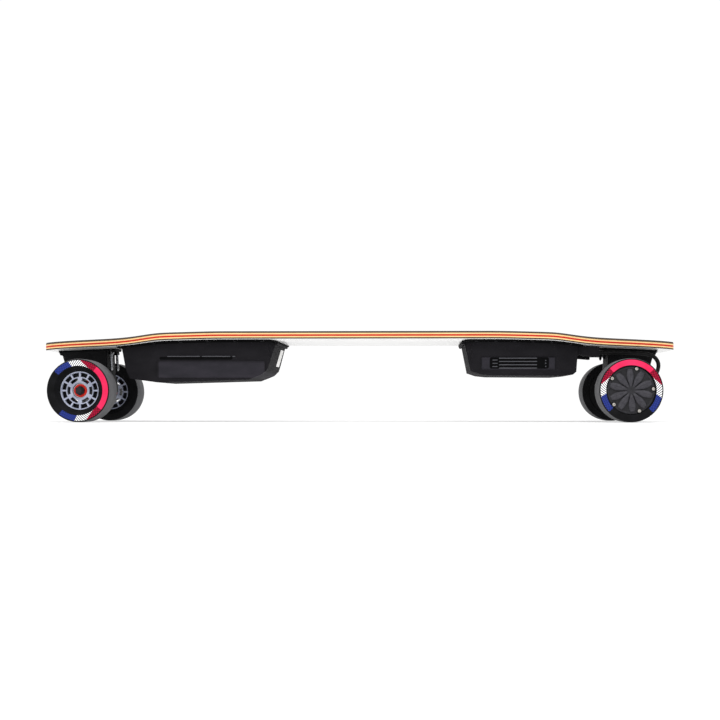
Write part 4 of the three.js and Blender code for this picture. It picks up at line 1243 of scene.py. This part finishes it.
FLANGES = {"battery": (-372, -121), "controller": (161, 346)}
FLANGE_EDGE = 4
FLANGE_THICKNESS = 1.8
FLANGE_CORNER = 14
FLANGE_BED = 0.08
FLANGE_DRAFT = 0.6
FLANGE_SCREWS = 6
FLANGE_SCREW_INSET = 9
FLANGE_SCREW_END = 22


def add_flange(name, ends):
    """A thin flange round a case's rim, bedded on the deck's curved underside, and its screws."""
    corner = FLANGE_CORNER
    rings = []
    for x in [ends[0] + (ends[1] - ends[0]) * k / 40 for k in range(41)]:
        reach = min(x - ends[0], ends[1] - x)
        cut = corner - math.sqrt(max(0, corner**2 - (corner - reach) ** 2)) if reach < corner else 0
        edge = deck_half_width(x) - FLANGE_EDGE - cut
        top = []
        for k in range(25):
            y = edge * (-1 + k / 12)
            top.append((x, y, UNDERSIDE + rocker(x) + rail_rise(y) - FLANGE_BED))
        low = [(px, py * (1 - FLANGE_DRAFT / edge), pz - FLANGE_THICKNESS) for px, py, pz in reversed(top)]
        rings.append(top + low)
    add_piece(f"{name}_case_flange", skinned(rings), "gasket", "case_plastic", split=50)

    heads = []
    for k in range(FLANGE_SCREWS):
        run = ends[1] - ends[0] - 2 * FLANGE_SCREW_END
        x = ends[0] + FLANGE_SCREW_END + run * k / (FLANGE_SCREWS - 1)
        y = deck_half_width(x) - FLANGE_EDGE - FLANGE_SCREW_INSET
        z = UNDERSIDE + rocker(x) + rail_rise(y) - FLANGE_THICKNESS
        for side in (LEFT, RIGHT):
            down = shift(x, side * y, z) @ Matrix.Rotation(math.pi, 4, "X")
            heads.append(moved(screw_head(3.4, 1.0, 2.4), down @ shift(0, 0, -0.3)))
    screws = joined(*heads)
    add_piece(f"{name}_case_screws", screws, "black_steel", "fastener_steel", split=35)


PORT_X, BUTTON_X, PANEL_Z = -200, -240, 106
# (distance from the board's middle plane as height) profiles of what is in the panel on the right side
PORT_SHELL = [(0, 74, 0), (7, 74), (7, 88.3), (5, 88.3), (5, 77.5), (0, 77.5, 0)]
PORT_PIN = [(0, 77, 0), (1.1, 77, 0), (1.1, 85.5), (0, 86.2, 0)]
BUTTON = [(0, 78, 0), (6, 78), (6, 88.4), (5.4, 89.1), (4.3, 89.2), (4.0, 88.8), (3.6, 88.8)]
BUTTON += [(3.3, 89.15), (0, 88.9, 0)]


def add_port_and_button():
    def facing_out(x):
        """Points the local +Z out of the board's right side, in metres."""
        return Matrix.Translation((x * MM, 0, PANEL_Z * MM)) @ Matrix.Rotation(-math.pi / 2, 4, "X")

    def turned(profile, radius, steps, segments):
        return lathe(filleted(profile, radius, steps, closed=False), segments, closed=False)

    at_port = facing_out(PORT_X)
    shell = turned(PORT_SHELL, 0.4, 4, 64)
    add_piece("charge_port_socket", shell, "steel", "black_steel", "charge_port", place=at_port)
    pin = turned(PORT_PIN, 0.4, 4, 32)
    add_piece("charge_port_pin", pin, "bearing", "black_steel", place=at_port)

    low, high = (corner.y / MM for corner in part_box("charge_port_cap"))
    dome = [(0, low, 0), (8.9, low), (9.5, low + 0.8), (9.5, high - 0.9), (8.6, high), (6.4, high - 0.1)]
    dome += [(5.8, high - 0.7), (2.2, high - 0.6), (0, high - 0.5, 0)]
    tongue = raised_patch((-4, 4), (5, 13), 1.6, high - low - 0.4, 0.5)
    cap = joined(turned(dome, 0.5, 4, 64), moved(tongue, shift(0, 0, low + 0.4)))
    name, node = "charge_port_cap_moulded", "charge_port_cap"
    add_piece(name, cap, "rubber", "cable_rubber", node, place=at_port, body=node, split=45)

    name, node = "power_button_dished", "power_button"
    button = turned(BUTTON, 0.25, 3, 64)
    place = facing_out(BUTTON_X)
    add_piece(name, button, "button", "button_plastic", node, place=place, body=node, split=45)


def add_power_cable():
    """A flat cable of three cores moulded side by side, in the groove under the deck."""
    low, high = (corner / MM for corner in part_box("power_cable"))
    half_height = (high.z - low.z) / 2
    middle_z = (high.z + low.z) / 2
    cores = [low.y + (high.y - low.y) * (k + 0.5) / 3 for k in range(3)]
    reach = (high.y - low.y) / 6

    def section(x):
        points = []
        for y, turn in [(y, 1) for y in cores] + [(y, -1) for y in reversed(cores)]:
            for k in range(9):
                angle = math.pi * (0.94 - 0.11 * k) if turn > 0 else -math.pi * (0.06 + 0.11 * k)
                points.append((x, y + reach * math.cos(angle), middle_z + half_height * math.sin(angle)))
        return points

    cable = skinned([section(low.x + (high.x - low.x) * k / 40) for k in range(41)])
    add_piece("power_cable_cores", cable, "cable", "cable_rubber", "power_cable", split=60)


def add_cases():
    dress("battery_case", "case", 1.6, 4)
    dress("controller_case", "case", 1.6, 4)
    dress("battery_pack", "wrap", 3, 3)
    dress("controller_board", "circuit", 0.4)
    for name, side in SIDES:
        add_case_reliefs(side, name)
    add_label()
    for name, ends in FLANGES.items():
        add_flange(name, ends)
    add_port_and_button()
    add_power_cable()


CABLE_RADIUS = 3.2
SLEEVE_RIB = 0.1
SLEEVE_PITCH = 2.4
CABLE_ROUTE = [
    (372.4, 58, 106.6),
    (385, 58, 106.6),
    (405, 58, 106.6),
    (436, 58, 105.6),
    (453, 58, 102.5),
    (462, 57.5, 94),
    (463.5, 56.5, 83),
    (458, 55, 70),
    (447, 53.5, 58),
    (435, 52.5, 51),
    (423.4, 52, 48.6),
]


def add_cables():
    """Motor cables in ribbed sleeves, running from under the board down to the hanger."""

    def sleeve(distance):
        return CABLE_RADIUS + SLEEVE_RIB * math.sin(2 * math.pi * distance / SLEEVE_PITCH) - SLEEVE_RIB

    for name, side in SIDES:
        route = smooth_route([(x, side * y, z) for x, y, z in CABLE_ROUTE], 28)
        cable = make_object(f"{name}_motor_cable_sleeve", *tube(route, sleeve, 24), materials["cable"])
        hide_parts(f"{name}_motor_cable")
        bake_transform(cable)


add_camera()
add_studio()
add_floor()
add_deck()
add_wheels()
add_trucks()
add_cases()
add_cables()
